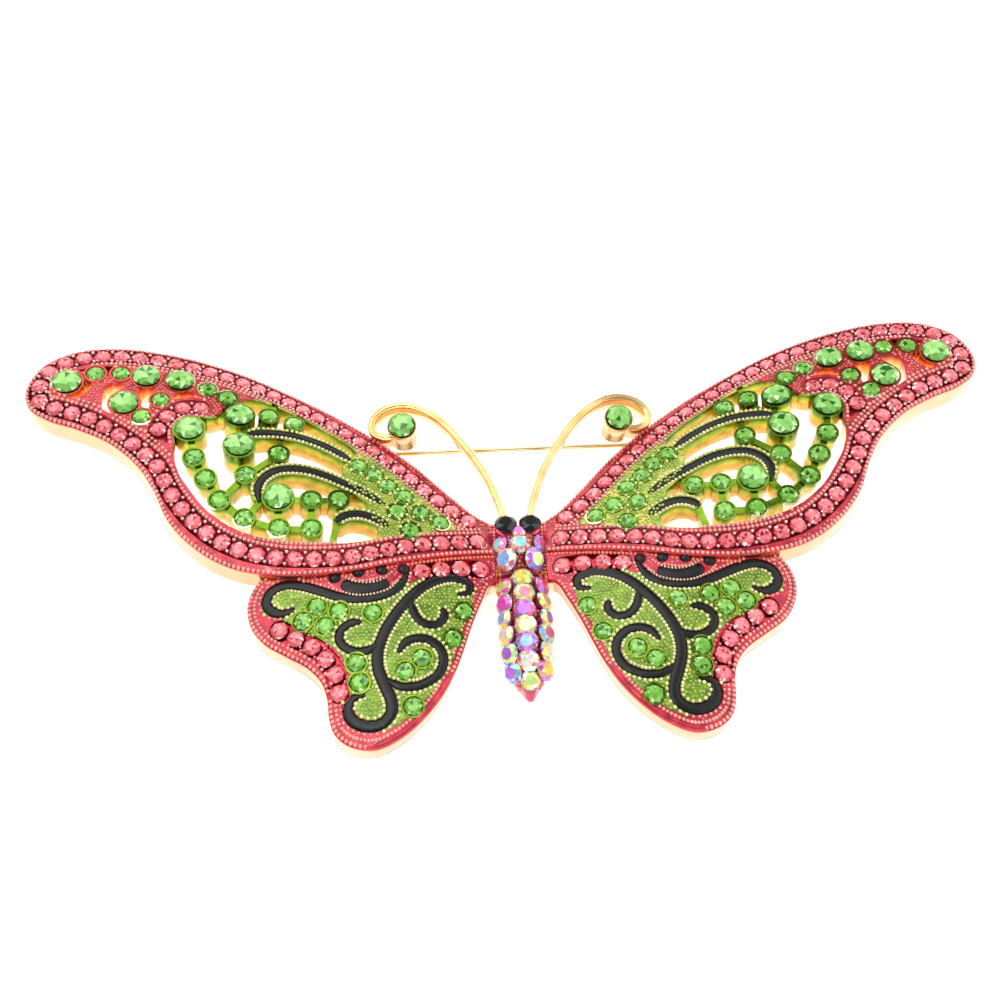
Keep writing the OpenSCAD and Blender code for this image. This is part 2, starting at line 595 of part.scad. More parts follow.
module hinge_bracket() {
    ear_y = eye_w / 2 + ear_gap;
    color(gold) difference() {
        union() {
            translate([-pin_end_x - 1.9, pin_y - ear_y - ear_w, pad_z - 0.6])
                cube([3.8, 2 * (ear_y + ear_w), 0.6]);
            along_rivet() cylinder(r = 2, h = 2 * (ear_y + ear_w), center = true);
            translate([-pin_end_x - 1.6, pin_y - ear_y - ear_w, pin_z])
                cube([3.2, 2 * (ear_y + ear_w), pad_z - pin_z]);
        }
        translate([-pin_end_x - 5, pin_y - ear_y, -1]) cube([10, 2 * ear_y, pad_z - 0.6 + 1]);
        along_rivet() cylinder(r = rivet_r + seat_gap, h = 10, center = true);
    }
}
module hinge_rivet() {
    shank = eye_w + 2 * (ear_gap + ear_w);
    color(gold) along_rivet() {
        cylinder(r = rivet_r, h = shank + 0.4, center = true);
        for (side = [-1, 1]) translate([0, 0, side * (shank / 2 + 0.15)])
            cylinder(r = rivet_r + 0.4, h = 0.3, center = true);
    }
}
module pin_stem() {
    color(gold) difference() {
        union() {
            along_rivet() cylinder(r = rivet_r + run_gap + 0.6, h = eye_w, center = true);
            along_pin(-pin_end_x) cylinder(r = shoulder_r, h = pin_end_x - wire_end_x);
            along_pin(-wire_end_x) cylinder(r = pin_r, h = 2 * wire_end_x);
            along_pin(wire_end_x) cylinder(r1 = pin_r, r2 = 0.08, h = point_end_x - wire_end_x);
        }
        along_rivet() cylinder(r = rivet_r + run_gap, h = 10, center = true);
    }
}
module catch_housing() {
    color(gold) difference() {
        union() {
            along_pin(pin_end_x) cylinder(r = catch_r, h = catch_len, center = true);
            translate([pin_end_x - catch_len / 2, pin_y - 1.5, pin_z + 1.3])
                cube([catch_len, 3, pad_z - pin_z - 1.3]);
        }
        along_pin(pin_end_x) cylinder(r = rotor_r + run_gap, h = 10, center = true);
        translate([pin_end_x - 5, pin_y - pin_r - wire_gap, -1])
            cube([10, 2 * (pin_r + wire_gap), pin_z + 1]);
        translate([pin_end_x - 0.7, pin_y - 5, -1]) cube([1.4, 5 - 0.35, pin_z + 1 + 1.25]);
    }
}
module catch_rotor() {
    color(gold) difference() {
        union() {
            along_pin(pin_end_x) cylinder(r = rotor_r, h = catch_len, center = true);
            translate([pin_end_x, pin_y, pin_z]) rotate([-tab_rest, 0, 0])
                translate([-0.5, -tab_w / 2, -tab_len]) cube([1, tab_w, tab_len]);
        }
        along_pin(pin_end_x) cylinder(r = pin_r + wire_gap, h = 10, center = true);
        translate([pin_end_x - 5, pin_y - pin_r - wire_gap + 0.02, -3])
            cube([10, 2 * (pin_r + wire_gap - 0.02), pin_z + 3]);
    }
}

body_casting();
body_enamel();
thorax_crystals();
abdomen_crystals();
eye_stones();
fore_wing(false);  // fore_wing_right
fore_wing(true);  // fore_wing_left
hind_wing(false);  // hind_wing_right
hind_wing(true);  // hind_wing_left
fore_pink_enamel(false);  // fore_pink_enamel_right
fore_pink_enamel(true);  // fore_pink_enamel_left
fore_green_enamel(false);  // fore_green_enamel_right
fore_green_enamel(true);  // fore_green_enamel_left
fore_black_enamel(false);  // fore_black_enamel_right
fore_black_enamel(true);  // fore_black_enamel_left
hind_pink_enamel(false);  // hind_pink_enamel_right
hind_pink_enamel(true);  // hind_pink_enamel_left
hind_green_enamel(false);  // hind_green_enamel_right
hind_green_enamel(true);  // hind_green_enamel_left
hind_black_enamel(false);  // hind_black_enamel_right
hind_black_enamel(true);  // hind_black_enamel_left
fore_pink_stones(false);  // fore_pink_stones_right
fore_pink_stones(true);  // fore_pink_stones_left
spur_pink_stones(false);  // spur_pink_stones_right
spur_pink_stones(true);  // spur_pink_stones_left
fore_large_stones(false);  // fore_large_stones_right
fore_large_stones(true);  // fore_large_stones_left
fore_small_stones(false);  // fore_small_stones_right
fore_small_stones(true);  // fore_small_stones_left
root_stones(false);  // root_stones_right
root_stones(true);  // root_stones_left
hind_pink_stones(false);  // hind_pink_stones_right
hind_pink_stones(true);  // hind_pink_stones_left
hind_green_stones(false);  // hind_green_stones_right
hind_green_stones(true);  // hind_green_stones_left
antenna(false);  // antenna_right
antenna(true);  // antenna_left
antenna_stone(false);  // antenna_stone_right
antenna_stone(true);  // antenna_stone_left
hinge_bracket();
hinge_rivet();
pin_stem();
catch_housing();
catch_rotor();
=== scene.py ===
"""Looks of the butterfly brooch: faceted stones, beaded edges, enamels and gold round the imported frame.

Lengths are in millimetres until a mesh is made. The wings' curves are the ones the frame was drawn from,
in each wing's own flat coordinates, and Wing lays them on its arched surface.
"""
import math

import bpy
import numpy as np
from mathutils import Euler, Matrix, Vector


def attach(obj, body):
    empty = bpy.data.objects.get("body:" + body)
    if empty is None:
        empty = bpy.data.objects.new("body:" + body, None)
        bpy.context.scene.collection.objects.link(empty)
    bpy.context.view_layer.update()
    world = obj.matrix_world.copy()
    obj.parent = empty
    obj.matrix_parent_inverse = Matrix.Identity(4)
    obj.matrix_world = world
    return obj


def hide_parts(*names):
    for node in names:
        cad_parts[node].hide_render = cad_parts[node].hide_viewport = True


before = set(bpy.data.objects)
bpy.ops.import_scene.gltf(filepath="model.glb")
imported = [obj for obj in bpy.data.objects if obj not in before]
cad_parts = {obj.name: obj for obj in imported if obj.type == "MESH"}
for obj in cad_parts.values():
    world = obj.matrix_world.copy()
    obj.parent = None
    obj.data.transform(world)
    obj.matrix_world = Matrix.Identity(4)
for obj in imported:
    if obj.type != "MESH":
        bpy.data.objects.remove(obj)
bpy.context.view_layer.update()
MM = 0.001
SIDES = ("right", "left")
rng = np.random.default_rng(11)

# ---- sizes that the frame was drawn with ----

RIM_DEPTH = 2.8
ENAMEL = 0.25
GROOVE = 0.4
PINK_R = 1.05
VEIN_W = 1.05
DOT_R = 0.7
ROOT_X = 3.3
BODY_Z = 2.5
HEAD_Y = 3.6

# ---- curves of the right wings ----

FORE_OUTLINE = [[1, -0.6], [3, 1], [5.6, 2.6], [9, 6], [13, 10.4], [18, 14.5], [24, 18.3], [30, 21.2],
                [36, 23.6], [42, 25.1], [48, 25.7], [53, 25.5], [57.5, 24.3], [60.8, 21.8], [62.3, 18.6],
                [61.7, 15.8], [59, 13.9], [55.5, 12.6], [51.5, 10.6], [48, 7.6], [45.6, 4.2], [43.6, 0.4],
                [41, -2.6], [37.5, -5.2], [33.5, -6.8], [28, -7.5], [22, -7.1], [16, -5.9], [10, -4.8],
                [4, -3.9], [1, -3.4]]
FORE_MIDDLE = [[8.2, -0.3], [10.8, 2.9], [13.6, 6], [18, 10.3], [22, 13.1], [26, 15.8], [30, 18.1],
               [33.8, 19.4], [35.9, 18.4], [38.3, 17.1], [39, 15.4], [41.5, 15], [43.6, 14.3], [44.3, 12.6],
               [43.9, 10.4], [43.5, 8.2], [42.6, 6], [41.2, 3.7], [39.6, 1.6], [37.4, -0.4], [34.6, -2],
               [31.5, -3], [28, -3.5], [24, -3.6], [20, -3.3], [17, -2.5], [14.4, -2.7], [11.5, -1.3]]
FORE_WINDOW = [[20.9, 10.7], [22, 12.4], [23.6, 13.7], [25, 14.6], [26.6, 15.5], [28.4, 16.5], [30, 17.3],
               [31.6, 18], [33.2, 18.6], [35, 18.9], [36.4, 18.5], [37.8, 17.4], [38.6, 16.6], [39, 15.2],
               [40.4, 14.5], [42.4, 14.6], [43.8, 13.4], [44.1, 12], [43.8, 10.6], [43.7, 9], [43.4, 7.4],
               [42.7, 5.8], [41.6, 4.2], [40.4, 2.6], [38.9, 1], [37.2, -0.4], [35.4, -1.5], [33.2, -2.4],
               [30.6, -3], [27.6, -3.4], [24, -3.5], [21, -3.3], [18.9, -2.7], [18.5, -1.4], [19.6, 0.9],
               [19.9, 2.6], [21.6, 4], [22.6, 6.4], [23, 8.6]]
TIP_WINDOWS = [
    [[41.2, 17.9], [42.4, 18.8], [44.2, 18.7], [45.2, 17.6], [44.4, 17.4], [42.8, 17.7]],
    [[47.2, 19.2], [48.9, 19.3], [49.1, 17.6], [49, 15.6], [47.8, 15.4], [47.5, 16.4], [47.7, 17.6]],
    [[50.6, 19.4], [52.5, 19.4], [53.3, 18.5], [53.2, 16.6], [53, 15.1], [51.6, 14], [51.4, 15.4],
     [52.1, 16.8], [51.8, 18]],
    [[54.6, 19.7], [55.7, 20], [56.5, 19.2], [57, 17.9], [57, 16.9], [56, 17], [55.2, 18.2]],
    [[52.8, 22.2], [53.6, 22.4], [53.9, 21.6], [53.1, 21]],
    [[55.8, 22.2], [56.7, 21.9], [56.6, 21.1], [55.9, 21.3]]]
FORE_VEINS = [
    [[21.8, 9.7], [24.5, 11.4], [27.5, 12.6], [30.5, 13.1], [33.5, 12.9], [35.4, 12.3]],
    [[33, 2.2], [33.3, 4.2], [32.6, 5.8], [30.9, 7], [28.3, 7.3], [25.5, 6.7], [22.5, 5.4],
     [20, 4.2], [17.6, 2.6]],
    [[23.7, -0.4], [22.5, 0.5], [20.8, 0.8], [19, 0.3], [17.2, -0.8]]]
BORDER_ROW = [[6.4, 1.2], [9.3, 3.3], [13.2, 7.3], [16.8, 10.8], [20.9, 14], [25.8, 17.1],
              [31.2, 20], [36.4, 22.1], [42, 23.5], [48, 24.2], [53, 24.1], [57.3, 23], [60, 21],
              [60.9, 18.4], [60.2, 16.2], [57.6, 15.2], [54.6, 14.1], [51, 12], [47.8, 9.6], [45.3, 7],
              [44.1, 4.6], [42.4, 2], [40, -0.7], [36.8, -3.1], [33, -4.7], [28, -5.5], [22, -5.3],
              [16.2, -3.9], [11.9, -3.1], [7.6, -2.5], [4.8, -2]]
SPUR_ROW = [[45.7, 10.3], [46, 12.6], [45, 14.8], [43.2, 16.2], [41, 16.3]]
HIND_OUTLINE = [[1, -7], [4.2, -8.4], [5.6, -11], [6.9, -14], [8, -17], [9.2, -20], [10.7, -22.8],
                [12.7, -25.3], [15.2, -27.4], [18, -28.6], [20.6, -28.2], [22.5, -26.8], [23.3, -24.8],
                [23.6, -22.6], [24.4, -20.6], [26, -18.9], [28.5, -17.3], [31, -15.6], [32.7, -13.4],
                [33.3, -11], [32.8, -8.8], [31.5, -7.4], [28, -6.6], [16, -4], [4, -2], [1, -2]]
HIND_FIELD = [[6.2, -9], [7.6, -7.4], [10.4, -7.6], [13.4, -8.4], [16, -9.8], [19.4, -11],
              [23, -10.4], [26.4, -8.6], [29.6, -8.2], [31.6, -9.6], [31.4, -12], [29, -13], [26.6, -14.9],
              [24, -16.2], [22.2, -18], [21.2, -20.6], [21.4, -22.2], [22, -24.2], [20.8, -26.3],
              [18, -26.9], [15.4, -26], [12.6, -23.4], [10.4, -20.6], [9.2, -17.9], [8.1, -15], [7, -12]]
HIND_SCROLLS = [
    [1.15, [[14.6, -7.3], [15.5, -9.2], [17.5, -10.5], [20, -10.9], [22.5, -10.6], [24.6, -9.8],
            [27, -8.9], [29, -8.6], [30.6, -9.3], [31.1, -10.7], [30.4, -11.8], [29, -12.2],
            [27.8, -11.7]]],
    [1.7, [[16.9, -8.7], [18.6, -9.4], [20.5, -9.5], [22.4, -8.8]]],
    [1.3, [[8.5, -10.3], [7.2, -9.9], [7, -8.7], [8.5, -7.9], [10.6, -8.2], [12.8, -9.4], [14.8, -11.4],
           [16.4, -13.6], [17.5, -15.7], [18.1, -17.8], [18, -19.8], [17.3, -21.7], [16.6, -23.4],
           [16.6, -24.9], [17.7, -26], [19.3, -26.1], [20.8, -25.3], [21.3, -24], [20.7, -22.9],
           [19.5, -22.6]]],
    [1.0, [[14.2, -11.5], [13.8, -13.1], [12.7, -14.3], [11.2, -14.4], [10.3, -13.4], [10.5, -12.2]]],
    [1.0, [[18.2, -16.8], [19.4, -17.5], [21, -17.4], [22.3, -16.4], [22.4, -15], [21.3, -14],
           [20, -13.9]]],
    [1.05, [[17, -21.1], [15.4, -21.9], [13.4, -21.9], [11.4, -20.8], [10.6, -18.9], [11.2, -17.2],
            [12.8, -16.2], [14.7, -16.5], [15.8, -17.9]]]]
HIND_UPPER_ROW = [[5.3, -6.3], [9, -6.5], [12.9, -7.1]]
BLACK_DOTS = [[15, -6.9], [17.7, -7], [20.5, -7.3], [23.3, -8]]
ANTENNA_LINE = [[1.5, 3], [1.9, 5], [3.3, 9.2], [4.8, 12.2], [6.6, 15], [8.9, 17.9], [11.6, 20.2],
                [14.5, 21.3], [17.2, 20.9], [18.9, 19.5], [19.3, 17.9], [18.5, 16.9], [17, 16.5],
                [15.6, 17]]
THORAX = [[0.6, 1.9], [1.4, 2.5], [2.8, 2.85], [4.4, 2.85], [6, 2.5], [7, 1.9], [7.6, 1.7], [8.2, 1.5]]
ABDOMEN = [[7.6, 1.7], [8.6, 2.4], [10.5, 2.65], [13, 2.75], [16.5, 2.75], [19.2, 2.45],
           [21.2, 1.8], [22.7, 0.95], [23.8, 0.2]]


def blend4(a, b, c, d, t):
    return 0.5 * (2 * b + (c - a) * t + (2 * a - 5 * b + 4 * c - d) * t * t
                  + (3 * b - a - 3 * c + d) * t ** 3)


def curve(points, steps=12, closed=False):
    """A smooth curve through the points, the same one that the frame uses."""
    p = np.array(points, float)
    m = len(p)
    out = []
    for i in range(m if closed else m - 1):
        near = [p[(i + k) % m] if closed else p[min(max(i + k, 0), m - 1)] for k in (-1, 0, 1, 2)]
        out += [blend4(*near, k / steps) for k in range(steps)]
    return np.array(out if closed else out + [p[-1]])


def run_of(path):
    """Distance run along a path at each of its points."""
    return np.concatenate([[0], np.cumsum(np.linalg.norm(np.diff(path, axis=0), axis=1))])


def left_normals(ahead):
    """The unit normals on the left of the given directions."""
    ahead = ahead / np.linalg.norm(ahead, axis=1)[:, None]
    return np.column_stack([-ahead[:, 1], ahead[:, 0]])


LOOK_AHEAD = 0.08


def even(path, step, closed=False):
    """Points an even step apart along a path, and the unit normal on its left at each."""
    p = np.vstack([path, path[:1]]) if closed else path
    run = run_of(p)
    s = np.linspace(0.0, run[-1], max(2, round(run[-1] / step) + 1))
    if closed:
        s = s[:-1]

    def at(x):
        x = x % run[-1] if closed else np.clip(x, 0, run[-1])
        return np.column_stack([np.interp(x, run, p[:, k]) for k in (0, 1)])

    return at(s), left_normals(at(s + LOOK_AHEAD) - at(s - LOOK_AHEAD))


def inside(points, outline):
    """Which points lie inside a closed outline."""
    x, y = points[:, 0, None], points[:, 1, None]
    a, b = outline, np.roll(outline, -1, 0)
    rise = np.where(a[:, 1] == b[:, 1], 1e-9, b[:, 1] - a[:, 1])
    crossed = ((a[:, 1] > y) != (b[:, 1] > y)) & (x < a[:, 0] + (y - a[:, 1]) * (b[:, 0] - a[:, 0]) / rise)
    return crossed.sum(1) % 2 == 1


def gap(points, path):
    """Distance from each point to the nearest point of a finely spaced path."""
    return np.min(np.linalg.norm(points[:, None] - path[None], axis=2), axis=1)


def turn_of(degrees):
    return np.array(Euler([math.radians(d) for d in degrees]).to_matrix())


def mirror(points, mirrored):
    return points * [-1, 1, 1] if mirrored else points


class Wing:
    """The arched surface that a pair of wings is laid on."""

    def __init__(self, origin, tilt, radius, direction, crest):
        self.origin, self.turn, self.radius, self.crest = np.array(origin), turn_of(tilt), radius, crest
        a = math.radians(direction)
        self.over = np.array([-math.sin(a), math.cos(a)])

    def place(self, local, mirrored=False):
        """Points of the row frame for points of the wing's own frame."""
        return mirror(local @ self.turn.T + self.origin, mirrored)

    def height(self, p, lift=0.0):
        """Height of the surface that is lift over the wing, at flat points."""
        s = p @ self.over - self.crest
        return np.sqrt((self.radius + lift) ** 2 - s * s) - self.radius

    def normals(self, p):
        s = (p @ self.over - self.crest)[:, None] / self.radius
        return np.hstack([self.over * s, np.sqrt(1 - s * s)])

    def stand(self, p, lift=0.0):
        """Points lift over the wing, measured square to it."""
        n = self.normals(p)
        return np.column_stack([p, self.height(p)]) + n * np.reshape(lift, (-1, 1))

    def flat(self, points):
        """Flat coordinates of points in the row frame, on the right-hand wing."""
        return ((points - self.origin) @ self.turn)[:, :2]


FORE = Wing([0, 2.65, 4.36], [-2.8, -13.9, -2], 42, 37, -12)
HIND = Wing([0, 2.5, 5.65], [-2.4, -7.9, -1.1], 60, 60, -19)
fore_edge = curve(FORE_OUTLINE, closed=True)
fore_middle = curve(FORE_MIDDLE, closed=True)
tip_windows = [curve(o, 6, closed=True) for o in TIP_WINDOWS]
border_row = curve(BORDER_ROW)
spur_row = curve(SPUR_ROW)
hind_edge = curve(HIND_OUTLINE, closed=True)
hind_field = curve(HIND_FIELD, closed=True)

# ---- meshes ----


def make_mesh(name, points, faces, material, tint=None, smooth=True):
    """A mesh object from points in mm. tint is one colour a point, or one a face when there are as many."""
    mesh = bpy.data.meshes.new(name)
    mesh.from_pydata((np.asarray(points) * MM).tolist(), [], [list(map(int, f)) for f in faces])
    mesh.materials.append(material)
    mesh.polygons.foreach_set("use_smooth", [smooth] * len(faces))
    if tint is not None:
        tint = np.asarray(tint, float)
        layer = mesh.color_attributes.new("tint", "FLOAT_COLOR", "CORNER")
        if len(tint) == len(faces) and len(tint) != len(points):
            corner = np.repeat(tint, [len(f) for f in faces], axis=0)
        else:
            corner = tint[np.concatenate([np.asarray(f, int) for f in faces])]
        layer.data.foreach_set("color", np.column_stack([corner, np.ones(len(corner))]).ravel())
    mesh.validate()
    o = bpy.data.objects.new(name, mesh)
    bpy.context.scene.collection.objects.link(o)
    return o


def add_piece(name, points, faces, material, slot, tint=None, smooth=True, replaced=()):
    """A piece of the brooch's fixed body, in place of the replaced nodes."""
    o = make_mesh(name, points, faces, material, tint, smooth)
    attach(o, "brooch")
    if replaced:
        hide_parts(*replaced)


def flipped(faces, mirrored):
    return [f[::-1] for f in faces] if mirrored else faces


def both_sides(name, place, points, faces, material, slot, tint=None, replaced=()):
    """The same piece on the right and, mirrored, on the left.

    place(points, mirrored) gives its points in the row frame.
    """
    for side in SIDES:
        left = side == "left"
        add_piece(f"{name}_{side}", place(points, left), flipped(faces, left), material, slot, tint,
                  replaced=[f"{n}_{side}" for n in replaced])


# ---- materials ----


def node_material(name):
    m = bpy.data.materials.new(name)
    m.use_nodes = True
    tree = m.node_tree
    shader = tree.nodes["Principled BSDF"]
    return m, tree, shader


def link(tree, a, b):
    tree.links.new(a, b)


def feed(tree, sockets, values):
    """Links each socket to the output given for it, or sets it to the constant."""
    for socket, value in zip(sockets, values):
        if isinstance(value, bpy.types.NodeSocket):
            link(tree, value, socket)
        else:
            socket.default_value = value


def object_place(tree):
    return tree.nodes.new("ShaderNodeTexCoord").outputs["Object"]


def split_xyz(tree, vector):
    split = tree.nodes.new("ShaderNodeSeparateXYZ")
    link(tree, vector, split.inputs[0])
    return split.outputs


def join_xyz(tree, *values):
    join = tree.nodes.new("ShaderNodeCombineXYZ")
    feed(tree, join.inputs, values)
    return join.outputs[0]


def noise(tree, scale, detail=3.0):
    n = tree.nodes.new("ShaderNodeTexNoise")
    n.inputs["Scale"].default_value = scale
    n.inputs["Detail"].default_value = detail
    link(tree, object_place(tree), n.inputs["Vector"])
    return n.outputs["Fac"]


def ramp(tree, value, stops):
    r = tree.nodes.new("ShaderNodeValToRGB")
    r.color_ramp.elements[0].position, r.color_ramp.elements[0].color = stops[0][0], (*stops[0][1], 1)
    r.color_ramp.elements[1].position, r.color_ramp.elements[1].color = stops[-1][0], (*stops[-1][1], 1)
    for at, colour in stops[1:-1]:
        e = r.color_ramp.elements.new(at)
        e.color = (*colour, 1)
    link(tree, value, r.inputs["Fac"])
    return r.outputs["Color"]


def mix(tree, kind, fac, a, b):
    m = tree.nodes.new("ShaderNodeMix")
    m.data_type, m.blend_type = "RGBA", kind
    feed(tree, (m.inputs["Factor"], m.inputs["A"], m.inputs["B"]), (fac, a, b))
    return m.outputs["Result"]


def maths(tree, kind, a, b=0.0, c=0.0, clamp=False):
    m = tree.nodes.new("ShaderNodeMath")
    m.operation, m.use_clamp = kind, clamp
    feed(tree, m.inputs, (a, b, c))
    return m.outputs["Value"]


def vector_maths(tree, kind, a, b=(0.0, 0.0, 0.0)):
    m = tree.nodes.new("ShaderNodeVectorMath")
    m.operation = kind
    feed(tree, m.inputs, (a, b))
    return m.outputs["Value" if kind in ("LENGTH", "DOT_PRODUCT") else "Vector"]


def set_gloss(shader, metallic, roughness, coat=0.0, ior=1.5):
    shader.inputs["Metallic"].default_value = metallic
    shader.inputs["Roughness"].default_value = roughness
    shader.inputs["Coat Weight"].default_value = coat
    shader.inputs["Coat Roughness"].default_value = 0.04
    shader.inputs["IOR"].default_value = ior


def bump(tree, shader, height, strength, distance):
    b = tree.nodes.new("ShaderNodeBump")
    b.inputs["Strength"].default_value = strength
    b.inputs["Distance"].default_value = distance
    link(tree, height, b.inputs["Height"])
    link(tree, b.outputs["Normal"], shader.inputs["Normal"])


def tinted_material(name, metallic, roughness, coat, spread=0.25, ior=1.5, grain=900):
    """Takes its colour from the mesh's own tint, with a fine unevenness over it."""
    m, tree, shader = node_material(name)
    a = tree.nodes.new("ShaderNodeAttribute")
    a.attribute_name = "tint"
    shade = ramp(tree, noise(tree, grain), [(0.25, (1 - spread,) * 3), (0.75, (1 + spread * 0.4,) * 3)])
    link(tree, mix(tree, "MULTIPLY", 1.0, a.outputs["Color"], shade), shader.inputs["Base Color"])
    set_gloss(shader, metallic, roughness, coat, ior)
    return m


def enamel_material(name, stops, metallic, roughness, scale, relief=0.25, coat=0.9):
    m, tree, shader = node_material(name)
    link(tree, ramp(tree, noise(tree, scale, 4.0), stops), shader.inputs["Base Color"])
    set_gloss(shader, metallic, roughness, coat)
    bump(tree, shader, noise(tree, scale * 2.2, 3.0), relief, 0.0002)
    return m


GOLD, GOLD_PALE, GOLD_HIGH = (0.86, 0.62, 0.31), (0.95, 0.79, 0.52), (0.97, 0.84, 0.6)


def cloudy(tree, low=GOLD, middle=GOLD_PALE, high=GOLD_HIGH):
    """Soft cloudiness of gold plate."""
    return ramp(tree, noise(tree, 260), [(0.3, low), (0.55, middle), (0.8, high)])


def gold_material(name, *colours):
    """Polished gold plate."""
    m, tree, shader = node_material(name)
    link(tree, cloudy(tree, *colours), shader.inputs["Base Color"])
    polish(tree, shader)
    return m


def polish(tree, shader):
    set_gloss(shader, 1.0, 0.2)
    rough = ramp(tree, noise(tree, 1400, 4.0), [(0.3, (0.13,) * 3), (0.8, (0.27,) * 3)])
    link(tree, rough, shader.inputs["Roughness"])
    bump(tree, shader, noise(tree, 900, 4.0), 0.12, 0.0001)


def wing_place(tree, wing):
    """Flat coordinates on either wing, in metres, and the height over its arched surface."""
    x, y, z = split_xyz(tree, object_place(tree))[:3]
    right = join_xyz(tree, maths(tree, "ABSOLUTE", x), y, z)
    off = vector_maths(tree, "SUBTRACT", right, tuple(wing.origin * MM))
    local = [vector_maths(tree, "DOT_PRODUCT", off, tuple(wing.turn[:, k])) for k in range(3)]
    flat = join_xyz(tree, *local)
    s = maths(tree, "SUBTRACT", vector_maths(tree, "DOT_PRODUCT", flat, (*wing.over, 0.0)), wing.crest * MM)
    chord = maths(tree, "SUBTRACT", (wing.radius * MM) ** 2, maths(tree, "MULTIPLY", s, s))
    surface = maths(tree, "SUBTRACT", maths(tree, "SQRT", chord), wing.radius * MM)
    return flat, maths(tree, "SUBTRACT", local[2], surface)


def near(tree, flat, centre, reach, angle):
    """1 inside an ellipse in a wing's flat coordinates, given in mm."""
    place = tree.nodes.new("ShaderNodeMapping")
    place.vector_type = "TEXTURE"
    place.inputs["Location"].default_value = (centre[0] * MM, centre[1] * MM, 0)
    place.inputs["Rotation"].default_value = (0, 0, math.radians(angle))
    place.inputs["Scale"].default_value = (reach[0] * MM, reach[1] * MM, 1)
    link(tree, flat, place.inputs["Vector"])
    return maths(tree, "LESS_THAN", vector_maths(tree, "LENGTH", place.outputs[0]), 1.0)


def fore_wing_material():
    """Gold plate whose pierced middle is washed green on top and amber below, and whose tip is washed red."""
    m, tree, shader = node_material("wing_gold")
    plain = cloudy(tree)
    flat, height = wing_place(tree, FORE)
    uneven = maths(tree, "MULTIPLY_ADD", noise(tree, 330, 2.0), 1.2 * MM, -0.6 * MM)
    depth = maths(tree, "DIVIDE", maths(tree, "SUBTRACT", uneven, height), RIM_DEPTH * MM, clamp=True)
    middle = ramp(tree, depth, LIME_DOWN)
    speckle = ramp(tree, noise(tree, 700, 3.0), [(0.3, (0.5, 0.62, 0.4)), (0.65, (1.0, 1.0, 1.0))])
    middle = mix(tree, "MULTIPLY", 1.0, middle, speckle)
    tip = ramp(tree, depth, RED_DOWN)
    facing = split_xyz(tree, tree.nodes.new("ShaderNodeNewGeometry").outputs["True Normal"])
    not_below = maths(tree, "GREATER_THAN", facing["Z"], -0.45)
    for centre, reach, angle, colour in (((26.5, 8.6), (19.4, 11.6), 14, middle),
                                         ((50.5, 18.2), (8.9, 4.8), 4, tip)):
        inner = maths(tree, "MULTIPLY", near(tree, flat, centre, reach, angle), not_below)
        plain = mix(tree, "MIX", inner, plain, colour)
    link(tree, plain, shader.inputs["Base Color"])
    polish(tree, shader)
    return m


def hind_wing_material():
    """Gold plate with wine red in its stone grooves and green on its raised stone seats."""
    m, tree, shader = node_material("hind_gold")
    plain = cloudy(tree)
    wine = ramp(tree, noise(tree, 700, 3.0), [(0.3, (0.3, 0.008, 0.02)), (0.7, (0.6, 0.04, 0.06))])
    seat = ramp(tree, noise(tree, 700, 3.0), [(0.3, (0.08, 0.16, 0.008)), (0.7, (0.24, 0.34, 0.03))])
    height = wing_place(tree, HIND)[1]
    colour = mix(tree, "MIX", maths(tree, "GREATER_THAN", height, -0.6 * MM), plain, wine)
    colour = mix(tree, "MIX", maths(tree, "GREATER_THAN", height, 0.04 * MM), colour, seat)
    link(tree, colour, shader.inputs["Base Color"])
    polish(tree, shader)
    return m


# Colours down the walls of the pierced openings, from the top to the back
LIME_DOWN = [(0.0, (0.16, 0.27, 0.02)), (0.12, (0.3, 0.4, 0.035)), (0.3, (0.6, 0.56, 0.07)),
             (0.55, (0.82, 0.4, 0.07)), (0.8, (0.88, 0.52, 0.2)), (1.0, (0.9, 0.62, 0.32))]
RED_DOWN = [(0.0, (0.5, 0.06, 0.05)), (0.1, (0.7, 0.16, 0.07)), (0.3, (0.9, 0.4, 0.14)),
            (0.6, (0.93, 0.6, 0.28)), (1.0, (0.95, 0.75, 0.5))]
gold = gold_material("gold_plate")
deep_gold = gold_material("deep_gold", (0.72, 0.38, 0.13), (0.86, 0.55, 0.24), (0.95, 0.7, 0.4))
wing_gold = fore_wing_material()
hind_gold = hind_wing_material()
pink_enamel = enamel_material("pink_enamel", [(0.3, (0.26, 0.005, 0.018)), (0.55, (0.5, 0.018, 0.04)),
                                              (0.8, (0.74, 0.06, 0.08))], 0.5, 0.3, 900, 0.25, 0.3)
lime_enamel = enamel_material("lime_enamel", [(0.32, (0.1, 0.19, 0.01)), (0.48, (0.28, 0.38, 0.03)),
                                              (0.62, (0.5, 0.5, 0.08)), (0.75, (0.7, 0.42, 0.1))],
                              0.5, 0.3, 420, 0.5, 0.3)
green_enamel = enamel_material("green_enamel", [(0.3, (0.06, 0.14, 0.006)), (0.6, (0.2, 0.34, 0.02)),
                                                (0.8, (0.5, 0.56, 0.1))], 0.5, 0.3, 800, 0.5, 0.3)
black_enamel = enamel_material("black_enamel", [(0.3, (0.002, 0.002, 0.002)), (0.7, (0.006, 0.006, 0.006))],
                               0.0, 0.27, 500, 0.2, 0.0)
black_enamel.node_tree.nodes["Principled BSDF"].inputs["Specular IOR Level"].default_value = 0.3
bead_metal = tinted_material("bead_metal", 0.4, 0.28, 0.3)
stone_glass = tinted_material("stone_glass", 0.2, 0.12, 0.35, 0.12, 1.5, 2500)
crystal_glass = tinted_material("crystal_glass", 0.35, 0.08, 0.5, 0.1, 1.5, 2500)
jet_glass = tinted_material("jet_glass", 0.0, 0.08, 0.3, 0.2, 1.4, 2500)
